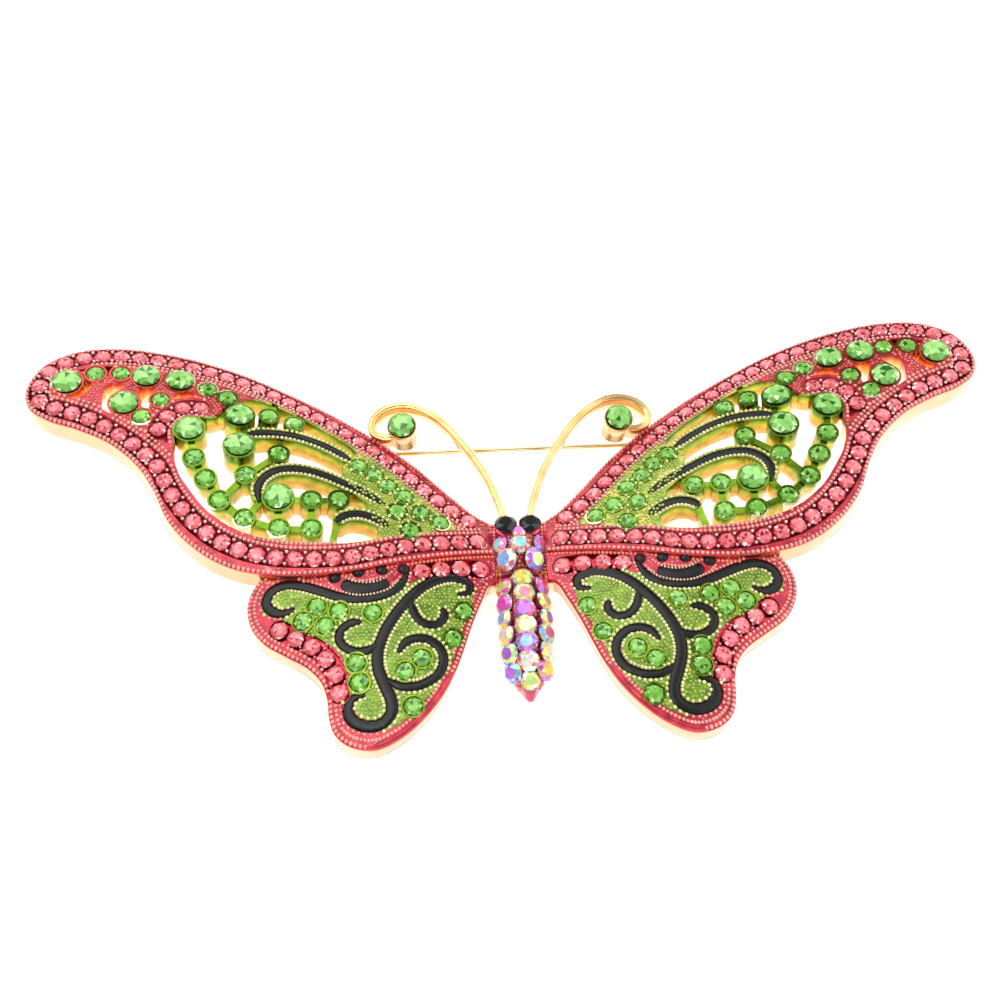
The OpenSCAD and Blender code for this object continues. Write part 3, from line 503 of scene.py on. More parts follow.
wall_gold = tinted_material("wall_gold", 1.0, 0.2, 0.0, 0.12, grain=500)

# ---- stones ----

CUT = 8


def loose_parts(node):
    """The separate solids of a frame node, each as its corner points in mm."""
    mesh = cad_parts[node].data
    co = np.zeros(len(mesh.vertices) * 3)
    mesh.vertices.foreach_get("co", co)
    spots, same = np.unique(np.round(co.reshape(-1, 3) / MM, 4), axis=0, return_inverse=True)
    same = same.ravel()
    owner = list(range(len(spots)))

    def find(i):
        while owner[i] != i:
            owner[i] = owner[owner[i]]
            i = owner[i]
        return i

    for e in mesh.edges:
        a, b = find(same[e.vertices[0]]), find(same[e.vertices[1]])
        owner[a] = b
    groups = {}
    for i in range(len(spots)):
        groups.setdefault(find(i), []).append(i)
    parts = [spots[g] for g in groups.values()]
    return sorted(parts, key=lambda p: tuple(np.round(p.mean(0), 2)))


def stone_seats(node):
    """(middle of the flat back, axis, radius) of each stone in a frame node."""
    seats = []
    for p in loose_parts(node):
        centre = p.mean(0)
        axis = np.linalg.eigh(np.cov((p - centre).T))[1][:, 0]
        axis *= 1 if axis[2] > 0 else -1
        along = (p - centre) @ axis
        out = np.linalg.norm((p - centre) - np.outer(along, axis), axis=1)
        seats.append((centre + axis * along.min(), axis, out.max()))
    return seats


def ring(count, r, z, offset=0.0):
    """Points round a level circle."""
    a = (np.arange(count) + offset) * 2 * math.pi / count
    return np.column_stack([r * np.cos(a), r * np.sin(a), np.full(count, z)])


# Rings of a cut stone's corners from its table down, for radius 1: (how many, radius, height, turned by)
STONE_RINGS = [(CUT, 0.56, 0.87, 0.5), (CUT, 0.8, 0.735), (2 * CUT, 0.995, 0.53), (2 * CUT, 0.995, 0.45),
               (2 * CUT, 0.72, 0.01)]


def cut_stone():
    """A brilliant: table in wedges, star, kite and girdle facets, and a plain back.

    Returns its points, its faces, and the kind of each face.
    """
    table_z = STONE_RINGS[0][2]
    points = np.vstack([[[0, 0, table_z]], *(ring(*r) for r in STONE_RINGS), [[0, 0, 0]]])
    top, mid, girdle, under, back, last = 1, 1 + CUT, 1 + 2 * CUT, 1 + 4 * CUT, 1 + 6 * CUT, 1 + 8 * CUT
    faces, kinds = [], []
    for k in range(CUT):
        n = (k + 1) % CUT
        faces += [[0, top + k, top + n], [top + k, mid + k, top + (k - 1) % CUT],
                  [top + k, girdle + 2 * k + 1, mid + k], [top + k, mid + n, girdle + 2 * k + 1],
                  [mid + k, girdle + 2 * k + 1, girdle + 2 * k],
                  [mid + k, girdle + 2 * k, girdle + (2 * k - 1) % (2 * CUT)]]
        kinds += ["table", "star", "kite", "kite_far", "girdle", "girdle"]
    for k in range(2 * CUT):
        n = (k + 1) % (2 * CUT)
        faces += [[girdle + k, girdle + n, under + n, under + k], [under + k, under + n, back + n, back + k],
                  [back + k, back + n, last]]
        kinds += ["band", "back", "back"]
    return points, faces, kinds


STONE_POINTS, STONE_FACES, STONE_KINDS = cut_stone()


def outward(points, faces):
    """The faces of a convex solid, each wound to look out."""
    middle = points.mean(0)
    done = []
    for f in faces:
        p = points[f]
        n = np.cross(p[1] - p[0], p[2] - p[0])
        done.append(f if n @ (p.mean(0) - middle) > 0 else f[::-1])
    return done


STONE_FACES = outward(STONE_POINTS, STONE_FACES)


def across_axis(axis):
    """Two unit directions square to an axis and to each other."""
    side = np.cross(axis, [0.0, 1.0, 0.0])
    side /= np.linalg.norm(side)
    return side, np.cross(axis, side)


def facet_colour_and_reflections(palette, kinds):
    """One colour a face, partly the stone's own colour and partly painted light: the wedges of the table
    carry painted reflections of the back facets, the crown is more even, and some kites and girdle facets get
    a painted glint while the other girdle facets get painted shade.
    """
    dark, mid, light, painted_glint = (np.array(c) for c in palette)
    tones = []
    for k in kinds:
        t = rng.random()
        if k == "table":
            c = dark if t < 0.16 else mid * (1 - t) + light * t
        elif k == "star":
            c = mid * (1 - t) + light * t
        elif k.startswith("kite"):
            c = painted_glint if t > 0.88 else mid * (1 - 0.5 * t) + light * 0.5 * t
        elif k == "girdle":
            c = dark * (1 - 0.7 * t) + mid * 0.7 * t if t < 0.85 else painted_glint
        else:
            c = dark * 0.6
        tones.append(c)
    return np.array(tones)


def rainbow_tones(palette, kinds):
    """Colours of one coated crystal: its table takes one bright colour and the crown several others."""
    colours = np.array(palette)
    table, crown = rng.integers(0, len(colours), 2)
    tones = []
    for k in kinds:
        if k == "table":
            c = colours[table] * (0.8 + 0.35 * rng.random())
        elif k in ("star", "kite", "kite_far"):
            c = colours[(crown + rng.integers(0, 3)) % len(colours)] * (0.75 + 0.3 * rng.random())
        elif k == "girdle":
            c = colours[rng.integers(0, len(colours))] * 0.7
        else:
            c = np.array([0.3, 0.05, 0.1])
        tones.append(c)
    return np.clip(np.array(tones), 0, 1)


def set_stones(nodes, palette, material, slot, toner=facet_colour_and_reflections, grown=1.0, lean=0.0):
    """Cut stones in place of the plain ones of the frame, one mesh a node."""
    for node in nodes:
        points, faces, tints = [], [], []
        for back, axis, r in stone_seats(node):
            r *= grown
            axis = axis + lean * (rng.random(3) - 0.5)
            axis /= np.linalg.norm(axis)
            u, v = across_axis(axis)
            spin = rng.random() * 2 * math.pi
            c, s = math.cos(spin), math.sin(spin)
            basis = np.array([u * c + v * s, v * c - u * s, axis])
            if np.linalg.det(basis) < 0:
                basis[1] *= -1
            start = sum(len(p) for p in points)
            points.append(back + STONE_POINTS * r @ basis)
            faces += [[start + i for i in f] for f in STONE_FACES]
            tints.append(toner(palette, STONE_KINDS))
        add_piece(f"cut_{node}", np.vstack(points), faces, material, slot, np.vstack(tints), False,
                  replaced=[node])


# Palettes of the stones: dark, mid and light tones and a painted glint, which the facets take as painted
# reflections and painted shade
PINKS = [(0.3, 0.008, 0.02), (0.68, 0.068, 0.095), (0.95, 0.27, 0.29), (1.0, 0.72, 0.7)]
GREENS = [(0.02, 0.14, 0.008), (0.17, 0.47, 0.07), (0.36, 0.74, 0.2), (0.7, 0.97, 0.55)]
SMALL_GREENS = [(0.008, 0.08, 0.003), (0.1, 0.33, 0.02), (0.25, 0.58, 0.08), (0.6, 0.9, 0.35)]
JETS = [(0.001, 0.001, 0.001), (0.003, 0.003, 0.003), (0.008, 0.008, 0.009), (0.03, 0.03, 0.033)]
RAINBOW = [(0.95, 0.8, 0.16), (0.7, 0.92, 0.3), (0.3, 0.85, 0.8), (0.28, 0.5, 0.95), (0.45, 0.15, 0.75),
           (0.85, 0.12, 0.6), (0.9, 0.2, 0.3), (0.97, 0.7, 0.45), (0.92, 0.9, 0.86)]


def pair(*names):
    """The right and left nodes of each name."""
    return [f"{n}_{side}" for n in names for side in SIDES]


set_stones(pair("fore_pink_stones", "spur_pink_stones", "hind_pink_stones"), PINKS, stone_glass, "pink_stone")
set_stones(pair("fore_large_stones", "antenna_stone"), GREENS, stone_glass, "green_stone")
set_stones(pair("fore_small_stones", "root_stones", "hind_green_stones"), SMALL_GREENS, stone_glass,
           "green_stone")
set_stones(["eye_stones"], JETS, jet_glass, "black_stone")
set_stones(["thorax_crystals", "abdomen_crystals"], RAINBOW, crystal_glass, "crystal", rainbow_tones,
           grown=1.34, lean=0.4)

# ---- beads ----

BEAD_SIDES = 8


def dome():
    """Half a bead of radius 1, closed below."""
    points = np.vstack([ring(BEAD_SIDES, 1, -0.3), ring(BEAD_SIDES, 0.92, 0.38), ring(BEAD_SIDES, 0.55, 0.83),
                        [[0, 0, 1.0]]])
    n = BEAD_SIDES
    faces = [[*range(n - 1, -1, -1)]]
    for k in range(n):
        m = (k + 1) % n
        faces += [[k, m, n + m, n + k], [n + k, n + m, 2 * n + m, 2 * n + k], [2 * n + k, 2 * n + m, 3 * n]]
    return points, faces


DOME_POINTS, DOME_FACES = dome()
DOME_HEIGHT = np.clip((DOME_POINTS[:, 2] + 0.3) / 1.3, 0, 1)


def bead_mesh(wing, spots, radii, lift):
    """Points and faces of beads that stand on a wing at flat spots."""
    base, up = wing.stand(spots, lift), wing.normals(spots)
    side = np.cross(up, [0.0, 1.0, 0.0])
    side /= np.linalg.norm(side, axis=1)[:, None]
    other = np.cross(up, side)
    d = DOME_POINTS
    points = (base[:, None] + np.reshape(radii, (-1, 1, 1)) * (
        d[None, :, :1] * side[:, None] + d[None, :, 1:2] * other[:, None] + d[None, :, 2:] * up[:, None]))
    faces = [[i * len(d) + v for v in f] for i in range(len(spots)) for f in DOME_FACES]
    return points.reshape(-1, 3), faces


def dome_shade_and_highlight(low, high):
    """A bead's colour at each of its points, from low, a painted shade, at its foot to high, a painted
    highlight, on its top.
    """
    t = DOME_HEIGHT[:, None] ** 0.6
    return np.array(low) * (1 - t) + np.array(high) * t


def shaded_bead_tints(count, low, high):
    """Painted shade between the beads and a painted highlight on their tops, each bead a little different."""
    shade = 0.8 + 0.3 * rng.random((count, 1, 1))
    return np.clip(dome_shade_and_highlight(low, high) * shade, 0, 1).reshape(-1, 3)


# Foot and top colours of the beads: the darker one is painted shade, the lighter one a painted highlight
WINE, ROSE = (0.4, 0.018, 0.035), (0.98, 0.42, 0.36)
OLIVE, LIME = (0.2, 0.26, 0.015), (0.92, 0.88, 0.42)


# Beads whose foot takes the low colour as painted shade and whose top takes the high colour as painted
# highlight
def beads(name, wing, spots, radius, low, high, slot, lift=ENAMEL - 0.03):
    spots = np.asarray(spots, float)
    radii = np.full(len(spots), radius) * (0.93 + 0.14 * rng.random(len(spots)))
    points, faces = bead_mesh(wing, spots, radii, lift)
    both_sides(name, wing.place, points, faces, bead_metal, slot, shaded_bead_tints(len(spots), low, high))


def flat_seats(wing, *names):
    """Flat places and radii of the stones of the right-hand nodes."""
    seats = [s for n in names for s in stone_seats(f"{n}_right")]
    return wing.flat(np.array([s[0] for s in seats])), np.array([s[2] for s in seats])


def away(points, *rules):
    """The points that are further from each path than the room given with it."""
    for path, room in rules:
        points = points[gap(points, path) > room]
    return points


def clear_of(points, places, radii, room):
    """Which points are further than room from the edges of all the stones."""
    far = np.linalg.norm(points[:, None] - places[None], axis=2) - radii[None]
    return far.min(1) > room


def nearest(path, place):
    return int(np.argmin(np.linalg.norm(path - np.array(place), axis=1)))


def in_order(places, path):
    """Stones sorted along the path of their row."""
    return np.argsort([nearest(path, p) for p in places])


ROW_BREAK, NOTCH_REACH = 3.2, 0.72


def cusp_beads(places, radii, path):
    """Two small beads in the notches between neighbouring stones of a row."""
    order = in_order(places, path)
    out = []
    for i, j in zip(order, order[1:]):
        way = places[j] - places[i]
        if np.linalg.norm(way) > ROW_BREAK:
            continue
        way /= np.linalg.norm(way)
        middle = (places[i] + way * radii[i] + places[j] - way * radii[j]) / 2
        off = np.array([-way[1], way[0]]) * NOTCH_REACH * (radii[i] + radii[j]) / 2
        out += [middle + off, middle - off]
    return np.array(out)


pink_at, pink_r = flat_seats(FORE, "fore_pink_stones")
spur_at, spur_r = flat_seats(FORE, "spur_pink_stones")
green_at, green_r = flat_seats(FORE, "fore_large_stones", "fore_small_stones", "root_stones")
root_at, root_r = flat_seats(FORE, "root_stones")
hind_pink_at, hind_pink_r = flat_seats(HIND, "hind_pink_stones")
hind_green_at, hind_green_r = flat_seats(HIND, "hind_green_stones")
fore_stones = np.vstack([pink_at, spur_at, green_at]), np.concatenate([pink_r, spur_r, green_r])
hind_stones = np.vstack([hind_pink_at, hind_green_at]), np.concatenate([hind_pink_r, hind_green_r])


def off_windows(points, room=0.15):
    """Which spots are clear of the openings in the wing's tip."""
    ok = np.ones(len(points), bool)
    for o in tip_windows:
        ok &= ~inside(points, o) & (gap(points, o) > room)
    return ok


def beyond_root(wing, points):
    """Which spots are outside the body's saddle."""
    return wing.place(wing.stand(points))[:, 0] > ROOT_X + 0.25


def thinned(points, room):
    """Drops each point that is nearer than room to an earlier one."""
    kept = []
    for p in points:
        if all((p[0] - q[0]) ** 2 + (p[1] - q[1]) ** 2 > room * room for q in kept[-400:]):
            kept.append(p)
    return np.array(kept)


# Fore wing: the outer edge, both sides of the pink rows, and the notches between the stones
BEAD, FINE_BEAD, SEAT_BEAD, GRAIN = 0.28, 0.25, 0.24, 0.21
BEAD_STEP, EDGE_INSET = 0.6, 0.24
FIRST_LINE, SECOND_LINE = PINK_R + 0.36, PINK_R + 0.9
edge_spots, edge_left = even(fore_edge, BEAD_STEP, closed=True)
edge_spots = edge_spots - edge_left * EDGE_INSET
row_spots, row_left = even(border_row, BEAD_STEP)
inner_spots = row_spots - row_left * FIRST_LINE
spur_spots, spur_left = even(spur_row, BEAD_STEP)
spur_lines = np.vstack([spur_spots + spur_left * FIRST_LINE, spur_spots - spur_left * FIRST_LINE])
notches = np.vstack([cusp_beads(pink_at, pink_r, border_row), cusp_beads(spur_at, spur_r, spur_row)])


def keep(points, stones, room, wing, outline):
    """The spots inside the outline that are clear of the stones and the body."""
    points = points[clear_of(points, *stones, room) & inside(points, outline)]
    return points[beyond_root(wing, points)]


second_spots = row_spots - row_left * SECOND_LINE
window = curve(FORE_WINDOW, 6, closed=True)
second_spots = second_spots[~inside(second_spots, fore_middle) | (second_spots[:, 0] > 20)]
second_spots = away(second_spots[~inside(second_spots, window)], (window, 0.2))
fore_pink_spots = np.vstack([edge_spots, inner_spots, spur_lines, second_spots])
fore_pink_spots = keep(fore_pink_spots, fore_stones, 0.08, FORE, fore_edge)
fore_pink_spots = thinned(fore_pink_spots[off_windows(fore_pink_spots)], 0.42)
beads("fore_edge_beads", FORE, fore_pink_spots, BEAD, WINE, ROSE, "pink_enamel")
notches = keep(notches, fore_stones, -0.06, FORE, fore_edge)
beads("fore_notch_beads", FORE, notches, SEAT_BEAD, WINE, (1.0, 0.62, 0.56), "pink_enamel", 0.18)


def ribbon_width(path, full, tip=0.4):
    """Width along a ribbon, which tapers to a share tip of it at its ends."""
    u = run_of(path) / run_of(path)[-1]
    return full * np.minimum(1, np.minimum(tip + 6 * u, tip + 6 * (1 - u)))


def sided_spots(path, full, room, step):
    """Spots along both sides of a tapering ribbon and round its ends."""
    run, width = run_of(path), ribbon_width(path, full)
    spots, left = even(path, step)
    half = np.interp(np.linspace(0, run[-1], len(spots)), run, width)[:, None] / 2 + room
    return np.vstack([spots + left * half, spots - left * half, spots[:1], spots[-1:]])


vein_paths = [curve(v) for v in FORE_VEINS]
vein_spots = np.vstack([sided_spots(p, VEIN_W, 0.2, 0.58) for p in vein_paths])
vein_spots = away(vein_spots, *((p, VEIN_W / 2) for p in vein_paths))
vein_spots = vein_spots[clear_of(vein_spots, green_at, green_r, 0.2)]
beads("vein_beads", FORE, thinned(vein_spots, 0.4), FINE_BEAD, OLIVE, LIME, "green_enamel")

# Prongs round the stones at the root of the fore wing
prongs = np.vstack([root_at + (root_r[:, None] + 0.18) * [math.cos(a), math.sin(a)]
                    for a in np.radians([20, 80, 140, 200, 260, 320])])
prongs = keep(prongs, fore_stones, 0.05, FORE, fore_middle)
beads("root_prong_beads", FORE, thinned(prongs, 0.4), SEAT_BEAD, OLIVE, LIME, "green_enamel", 0.3)

# Hind wing: the black scrolls' sides, the edge, and the granulated fields
scroll_paths = [(w, curve(p)) for w, p in HIND_SCROLLS]
dot_places = np.array(BLACK_DOTS, float), np.full(len(BLACK_DOTS), DOT_R)


def off_scrolls(points, room):
    """Which spots are clear of the black ribbons and dots."""
    ok = np.ones(len(points), bool)
    for w, p in scroll_paths:
        width = ribbon_width(p, w)
        far = np.linalg.norm(points[:, None] - p[None], axis=2) - width[None] / 2
        ok &= far.min(1) > room
    return ok & clear_of(points, *dot_places, room)


def below_fore_wing(points, room=0.1):
    """Spots of the hind wing that lie outside the fore wing's outline."""
    seen = FORE.flat(HIND.place(HIND.stand(points)))
    return ~inside(seen, fore_edge) & (gap(seen, fore_edge) > room)


def on_hind(points, stone_room, scroll_room, *rules):
    """Spots that show on the hind wing, clear of its stones, its black ribbons and the paths of the rules."""
    points = keep(points, hind_stones, stone_room, HIND, hind_edge)
    points = points[off_scrolls(points, scroll_room) & below_fore_wing(points)]
    return away(points, *rules)


BEAD_ROOM, ROW_PITCH, GRAIN_PITCH = 0.36, 0.38, 0.5
scroll_spots = np.vstack([sided_spots(p, w, 0.21, 0.52) for w, p in scroll_paths])
scroll_spots = thinned(on_hind(scroll_spots, 0.05, 0.08), ROW_PITCH)
limy = inside(scroll_spots, hind_field)
beads("scroll_lime_beads", HIND, scroll_spots[limy], FINE_BEAD, OLIVE, LIME, "green_enamel")
beads("scroll_rose_beads", HIND, scroll_spots[~limy], 0.22, WINE, ROSE, "pink_enamel")


def scatter(outline, pitch):
    """An even but unsteady cover of points over the outline."""
    lo, hi = outline.min(0), outline.max(0)
    y = np.arange(lo[1], hi[1], pitch * 0.87)
    x = np.arange(lo[0], hi[0], pitch)
    grid = np.array([[a + (k % 2) * pitch / 2, b] for k, b in enumerate(y) for a in x])
    grid += (rng.random(grid.shape) - 0.5) * pitch * 0.45
    return grid[inside(grid, outline)]


# Granulation on what is solid between the stones of the fore wing: rosy in the tip, green at the root
row_middles = np.vstack([border_row, spur_row])
fore_grains = keep(scatter(fore_edge, GRAIN_PITCH), fore_stones, 0.3, FORE, fore_edge)
fore_grains = fore_grains[off_windows(fore_grains, 0.2) & ~inside(fore_grains, window)]
fore_grains = away(fore_grains, (window, 0.25), (row_middles, PINK_R + 0.35), (vein_spots, 0.4),
                   (fore_pink_spots, 0.4), (fore_edge, 0.5))
fore_grains = thinned(fore_grains, BEAD_ROOM)
green_part = inside(fore_grains, fore_middle)
beads("root_granulation", FORE, fore_grains[green_part], GRAIN, (0.08, 0.16, 0.006), (0.5, 0.62, 0.12),
      "green_enamel")
beads("tip_granulation", FORE, fore_grains[~green_part], GRAIN, (0.32, 0.01, 0.025), (0.85, 0.22, 0.16),
      "pink_enamel")

grains = thinned(on_hind(scatter(hind_field, GRAIN_PITCH), 0.12, 0.38, (scroll_spots, BEAD_ROOM)), 0.33)
beads("granulation", HIND, grains, GRAIN, (0.07, 0.15, 0.006), (0.42, 0.56, 0.1), "green_enamel")


def stretch(path, start, end):
    """The part of a closed path from the point nearest start on to the one nearest end."""
    i, j = nearest(path, start), nearest(path, end)
    return path[i:j + 1] if i < j else np.vstack([path[i:], path[:j + 1]])


def beads_along(path, step, offset):
    """Spots beside an open path, offset to its left."""
    spots, left = even(path, step)
    return spots + left * offset


SMOOTH_FROM, SMOOTH_TO = (9.4, -20.5), (19.4, -28.6)
hind_rows = np.vstack([
    beads_along(stretch(hind_edge, (4.6, -8.7), SMOOTH_FROM), 0.58, 0.3),
    beads_along(stretch(hind_edge, (7.4, -15.4), (22.6, -26.6)), 0.52, 0.95),
    beads_along(stretch(hind_edge, SMOOTH_TO, (31.6, -7.4)), 0.58, 0.3),
    beads_along(stretch(hind_edge, SMOOTH_TO, (31.6, -7.4)), 0.58, 0.86)])
hind_rows = thinned(on_hind(hind_rows, 0.08, 0.2, (scroll_spots, BEAD_ROOM)), ROW_PITCH)
beads("hind_edge_beads", HIND, hind_rows, FINE_BEAD, WINE, ROSE, "pink_enamel")

# A rope of red beads along the join of the two wings
join = fore_edge[(fore_edge[:, 1] < -2) & (fore_edge[:, 0] < 33)]
join = HIND.flat(FORE.place(FORE.stand(join))) - [0, 0.42]
join = join[np.argsort(join[:, 0])]
join_spots = keep(even(join, 0.5)[0], hind_stones, 0.05, HIND, hind_edge)
join_spots = join_spots[off_scrolls(join_spots, 0.05)]
beads("join_beads", HIND, join_spots, FINE_BEAD, (0.5, 0.02, 0.02), (1.0, 0.28, 0.16), "pink_enamel")

ARCS = [[[16.5, -7.3], [17.5, -8.2], [19, -8.7], [20.5, -8.6], [21.8, -8.1], [22.6, -7.4]],
        [[15.8, -8.6], [17, -9.7], [19, -10.3], [21, -10.3], [23, -9.5], [23.9, -8.7]]]
arc_spots = np.vstack([even(curve(a), 0.42)[0] for a in ARCS])
arc_spots = arc_spots[clear_of(arc_spots, *dot_places, 0.15) & below_fore_wing(arc_spots)]
beads("arc_beads", HIND, thinned(arc_spots, 0.3), 0.17, (0.5, 0.12, 0.05), (1.0, 0.72, 0.5),
      "gold_plate", 0.2)

rosy = scatter(hind_edge, 0.52)
rosy = rosy[~inside(rosy, hind_field) & (rosy[:, 0] < 27)]
rosy = on_hind(rosy, 0.1, BEAD_ROOM, (hind_edge, 0.7), (curve(HIND_UPPER_ROW), 1.45), (hind_rows, BEAD_ROOM),
               (scroll_spots, BEAD_ROOM), (arc_spots, 0.34), (join_spots, 0.4))
beads("rosy_granulation", HIND, thinned(rosy, 0.34), 0.19, WINE, (0.86, 0.25, 0.34), "pink_enamel")

# ---- strips, rims and walls that follow the wings' curves ----


def beside(path, profile, scale):
    """Flat points beside a path: one row a point of it, at the profile's offsets to its left, scaled."""
    left = left_normals(np.gradient(path, axis=0))
    return path[:, None] + left[:, None] * (profile[None, :, :1] * np.reshape(scale, (-1, 1, 1)))


def sweep(wing, path, profile, scale=1.0):
    """A strip along a flat path. profile lists (offset to the left, lift), going round anticlockwise."""
    profile = np.array(profile)
    flat = beside(path, profile, scale)
    return tube(np.dstack([flat, wing.height(flat, profile[:, 1])]))


def tube(rings, closed=False):
    """Points and faces of a tube through rings of points, capped unless it closes on itself."""
    n, m = rings.shape[:2]
    faces = []
    for i in range(n if closed else n - 1):
        k = (i + 1) % n
        faces += [[i * m + j, i * m + (j + 1) % m, k * m + (j + 1) % m, k * m + j] for j in range(m)]
    if not closed:
        faces += [list(range(m))[::-1], [(n - 1) * m + j for j in range(m)]]
    return rings.reshape(-1, 3), faces


def joined(parts):
    """One mesh of several."""
    points, faces, count = [], [], 0
    for p, f in parts:
        points.append(p)
        faces += [[count + i for i in one] for one in f]
        count += len(p)
    return np.vstack(points), faces


def longest_run(mask):
    """Indices of the longest unbroken run of True round a closed path."""
    start = int(np.argmin(mask))
    best, now = [], []
    for i in range(len(mask) + 1):
        k = (start + i) % len(mask)
        if mask[k] and i < len(mask):
            now.append(k)
        else:
            best, now = (now if len(now) > len(best) else best), []
    return np.array(best)


GROOVE_LINING = [(-1.22, -0.45), (1.22, -0.45), (1.22, 0.12), (1.13, 0.12), (1.1, -0.27), (-1.1, -0.27),
                 (-1.13, 0.12), (-1.22, 0.12)]
both_sides("groove_lining", FORE.place,
           *joined([sweep(FORE, p, GROOVE_LINING) for p in (border_row[border_row[:, 0] > 5.2], spur_row)]),
           pink_enamel, "pink_enamel")

WALL_PROFILE = [(-0.3, 0.06 - RIM_DEPTH), (0.03, 0.02 - RIM_DEPTH), (0.06, 0.12 - RIM_DEPTH), (0.06, -0.7),
                (0.06, -0.3), (0.06, -0.05), (0.02, 0.08), (-0.08, 0.17), (-0.2, 0.18), (-0.3, 0.1)]
PALE, AMBER, SPRAY = (0.6, 0.43, 0.245), (0.9, 0.47, 0.24), (0.66, 0.05, 0.07)
WALL_TINT = [PALE, PALE, PALE, PALE, AMBER, (0.85, 0.22, 0.16), SPRAY, SPRAY, SPRAY, SPRAY]


def wall(name, wing, outline, seen):
    path = outline[longest_run(seen)]
    points, faces = sweep(wing, path, WALL_PROFILE)
    both_sides(name, wing.place, points, faces, wall_gold, "gold_plate", np.tile(WALL_TINT, (len(path), 1)))


wall("fore_rim", FORE, fore_edge, beyond_root(FORE, fore_edge))
hind_round = hind_edge[::-1]
wall("hind_rim", HIND, hind_round, beyond_root(HIND, hind_round) & below_fore_wing(hind_round, 0.0))

# Polished edge of the hind wing's tail
smooth_edge = stretch(hind_edge, SMOOTH_FROM, SMOOTH_TO)
BAR = [(0.02, 0.0), (0.66, 0.0), (0.64, 0.28), (0.5, 0.42), (0.34, 0.46), (0.16, 0.4), (0.02, 0.22)]
rank = np.arange(len(smooth_edge))
ends = np.minimum(1, (np.minimum(rank, rank[::-1]) + 2) / 8)
both_sides("polished_edge", HIND.place, *sweep(HIND, smooth_edge, BAR, ends), pink_enamel, "pink_enamel")

# Black ribbons: domed, in place of the flat layers of the frame
DOMED = [(-1, -0.1), (1, -0.1), (1, 0.1), (0.86, 0.17), (0.5, 0.21), (0, 0.23), (-0.5, 0.21), (-0.86, 0.17),
         (-1, 0.1)]


def band(wing, path, full):
    return sweep(wing, path, DOMED, scale=ribbon_width(path, full) / 2)


def disc(wing, centre, r, lifts):
    """A low dome on the wing: rings of (share of r, lift) closed below and above."""
    flat = np.array([centre + ring(24, r * share, 0)[:, :2] for share, _ in lifts])
    return tube(np.dstack([flat, wing.height(flat, np.array(lifts)[:, 1:])]))


both_sides("black_veins", FORE.place, *joined([band(FORE, p, VEIN_W) for p in vein_paths]), black_enamel,
           "black_enamel", replaced=["fore_black_enamel"])
DOT_LIFTS = [(1, -0.1), (1, 0.16), (0.9, 0.32), (0.6, 0.45), (0.2, 0.5)]
scroll_parts = [band(HIND, p[longest_run(np.append(below_fore_wing(p, -0.2), False))], w)
                for w, p in scroll_paths]
scroll_parts += [disc(HIND, d, DOT_R, DOT_LIFTS) for d in BLACK_DOTS]
both_sides("black_scrolls", HIND.place, *joined(scroll_parts), black_enamel, "black_enamel",
           replaced=["hind_black_enamel"])


def lathe(profile, count=48):
    """Points and faces of a turned solid round z; profile runs from the axis out and back, anticlockwise."""
    rings = [ring(count, max(r, 1e-3), z) for r, z in profile]
    points, faces = tube(np.array(rings))
    return points, flipped(faces, True)


# (out from the stone, up over its seat)
COLLAR = [(0.06, 0.0), (0.25, 0.0), (0.28, 0.08), (0.24, 0.16), (0.16, 0.18), (0.06, 0.12)]
SEAT_UP = 0.48


def collars(nodes, tint):
    """Bright turned edges of the stone seats."""
    for node in nodes:
        parts = []
        for back, axis, r in stone_seats(node):
            u, v = across_axis(axis)
            rings = np.array([ring(32, r + out, SEAT_UP + up) for out, up in COLLAR]).transpose(1, 0, 2)
            points, faces = tube(rings, True)
            basis = np.array([u, v, axis])
            parts.append((back + points @ basis, flipped(faces, np.linalg.det(basis) < 0)))
        points, faces = joined(parts)
        add_piece(f"collars_{node}", points, faces, bead_metal, "gold_plate", np.tile(tint, (len(points), 1)))


collars(pair("fore_large_stones", "fore_small_stones", "root_stones"), (0.2, 0.32, 0.03))
collars(pair("hind_green_stones"), (0.18, 0.28, 0.02))

# ---- antennae ----

SLOPE, FOOT_Z = 14, 4.7
RIBBON_W, RIBBON_DEPTH = 1.0, 2.8
CUP_AT, CUP_R, CUP_DEPTH = (15.1, 18.0), 2.0, 4.2
# (offset, height) as shares of the ribbon's half width and depth, with two grooves along its top
RIBBON_PROFILE = np.array([
    (-0.8, 0), (0.8, 0), (1, 0.08), (1, 0.94), (0.9, 0.985), (0.66, 1), (0.5, 0.965), (0.34, 1), (-0.34, 1),
    (-0.5, 0.965), (-0.66, 1), (-0.9, 0.985), (-1, 0.94), (-1, 0.08)])


def tipped(points, degrees):
    """The points turned about the x axis."""
    a = math.radians(degrees)
    x, y, z = points.T
    return np.column_stack([x, y * math.cos(a) - z * math.sin(a), y * math.sin(a) + z * math.cos(a)])


def antenna_parts():
    """The ribbon and the stone's cup, before the antenna is tilted."""
    path = curve(ANTENNA_LINE)
    flat = beside(path, RIBBON_PROFILE, ribbon_width(path, RIBBON_W, 0.8) / 2)
    z = np.tile((RIBBON_PROFILE[:, 1] - 1) * RIBBON_DEPTH, (len(path), 1))
    points, faces = lathe([
        (0, -CUP_DEPTH), (CUP_R - 0.1, -CUP_DEPTH), (CUP_R, 0.1 - CUP_DEPTH), (CUP_R, -0.4),
        (CUP_R + 0.06, 0.05), (CUP_R, 0.2), (CUP_R - 0.1, 0.22), (CUP_R - 0.17, 0.1),
        (CUP_R - 0.17, -GROOVE), (0, -GROOVE)])
    return joined([tube(np.dstack([flat, z])), (points + [*CUP_AT, 0], faces)])


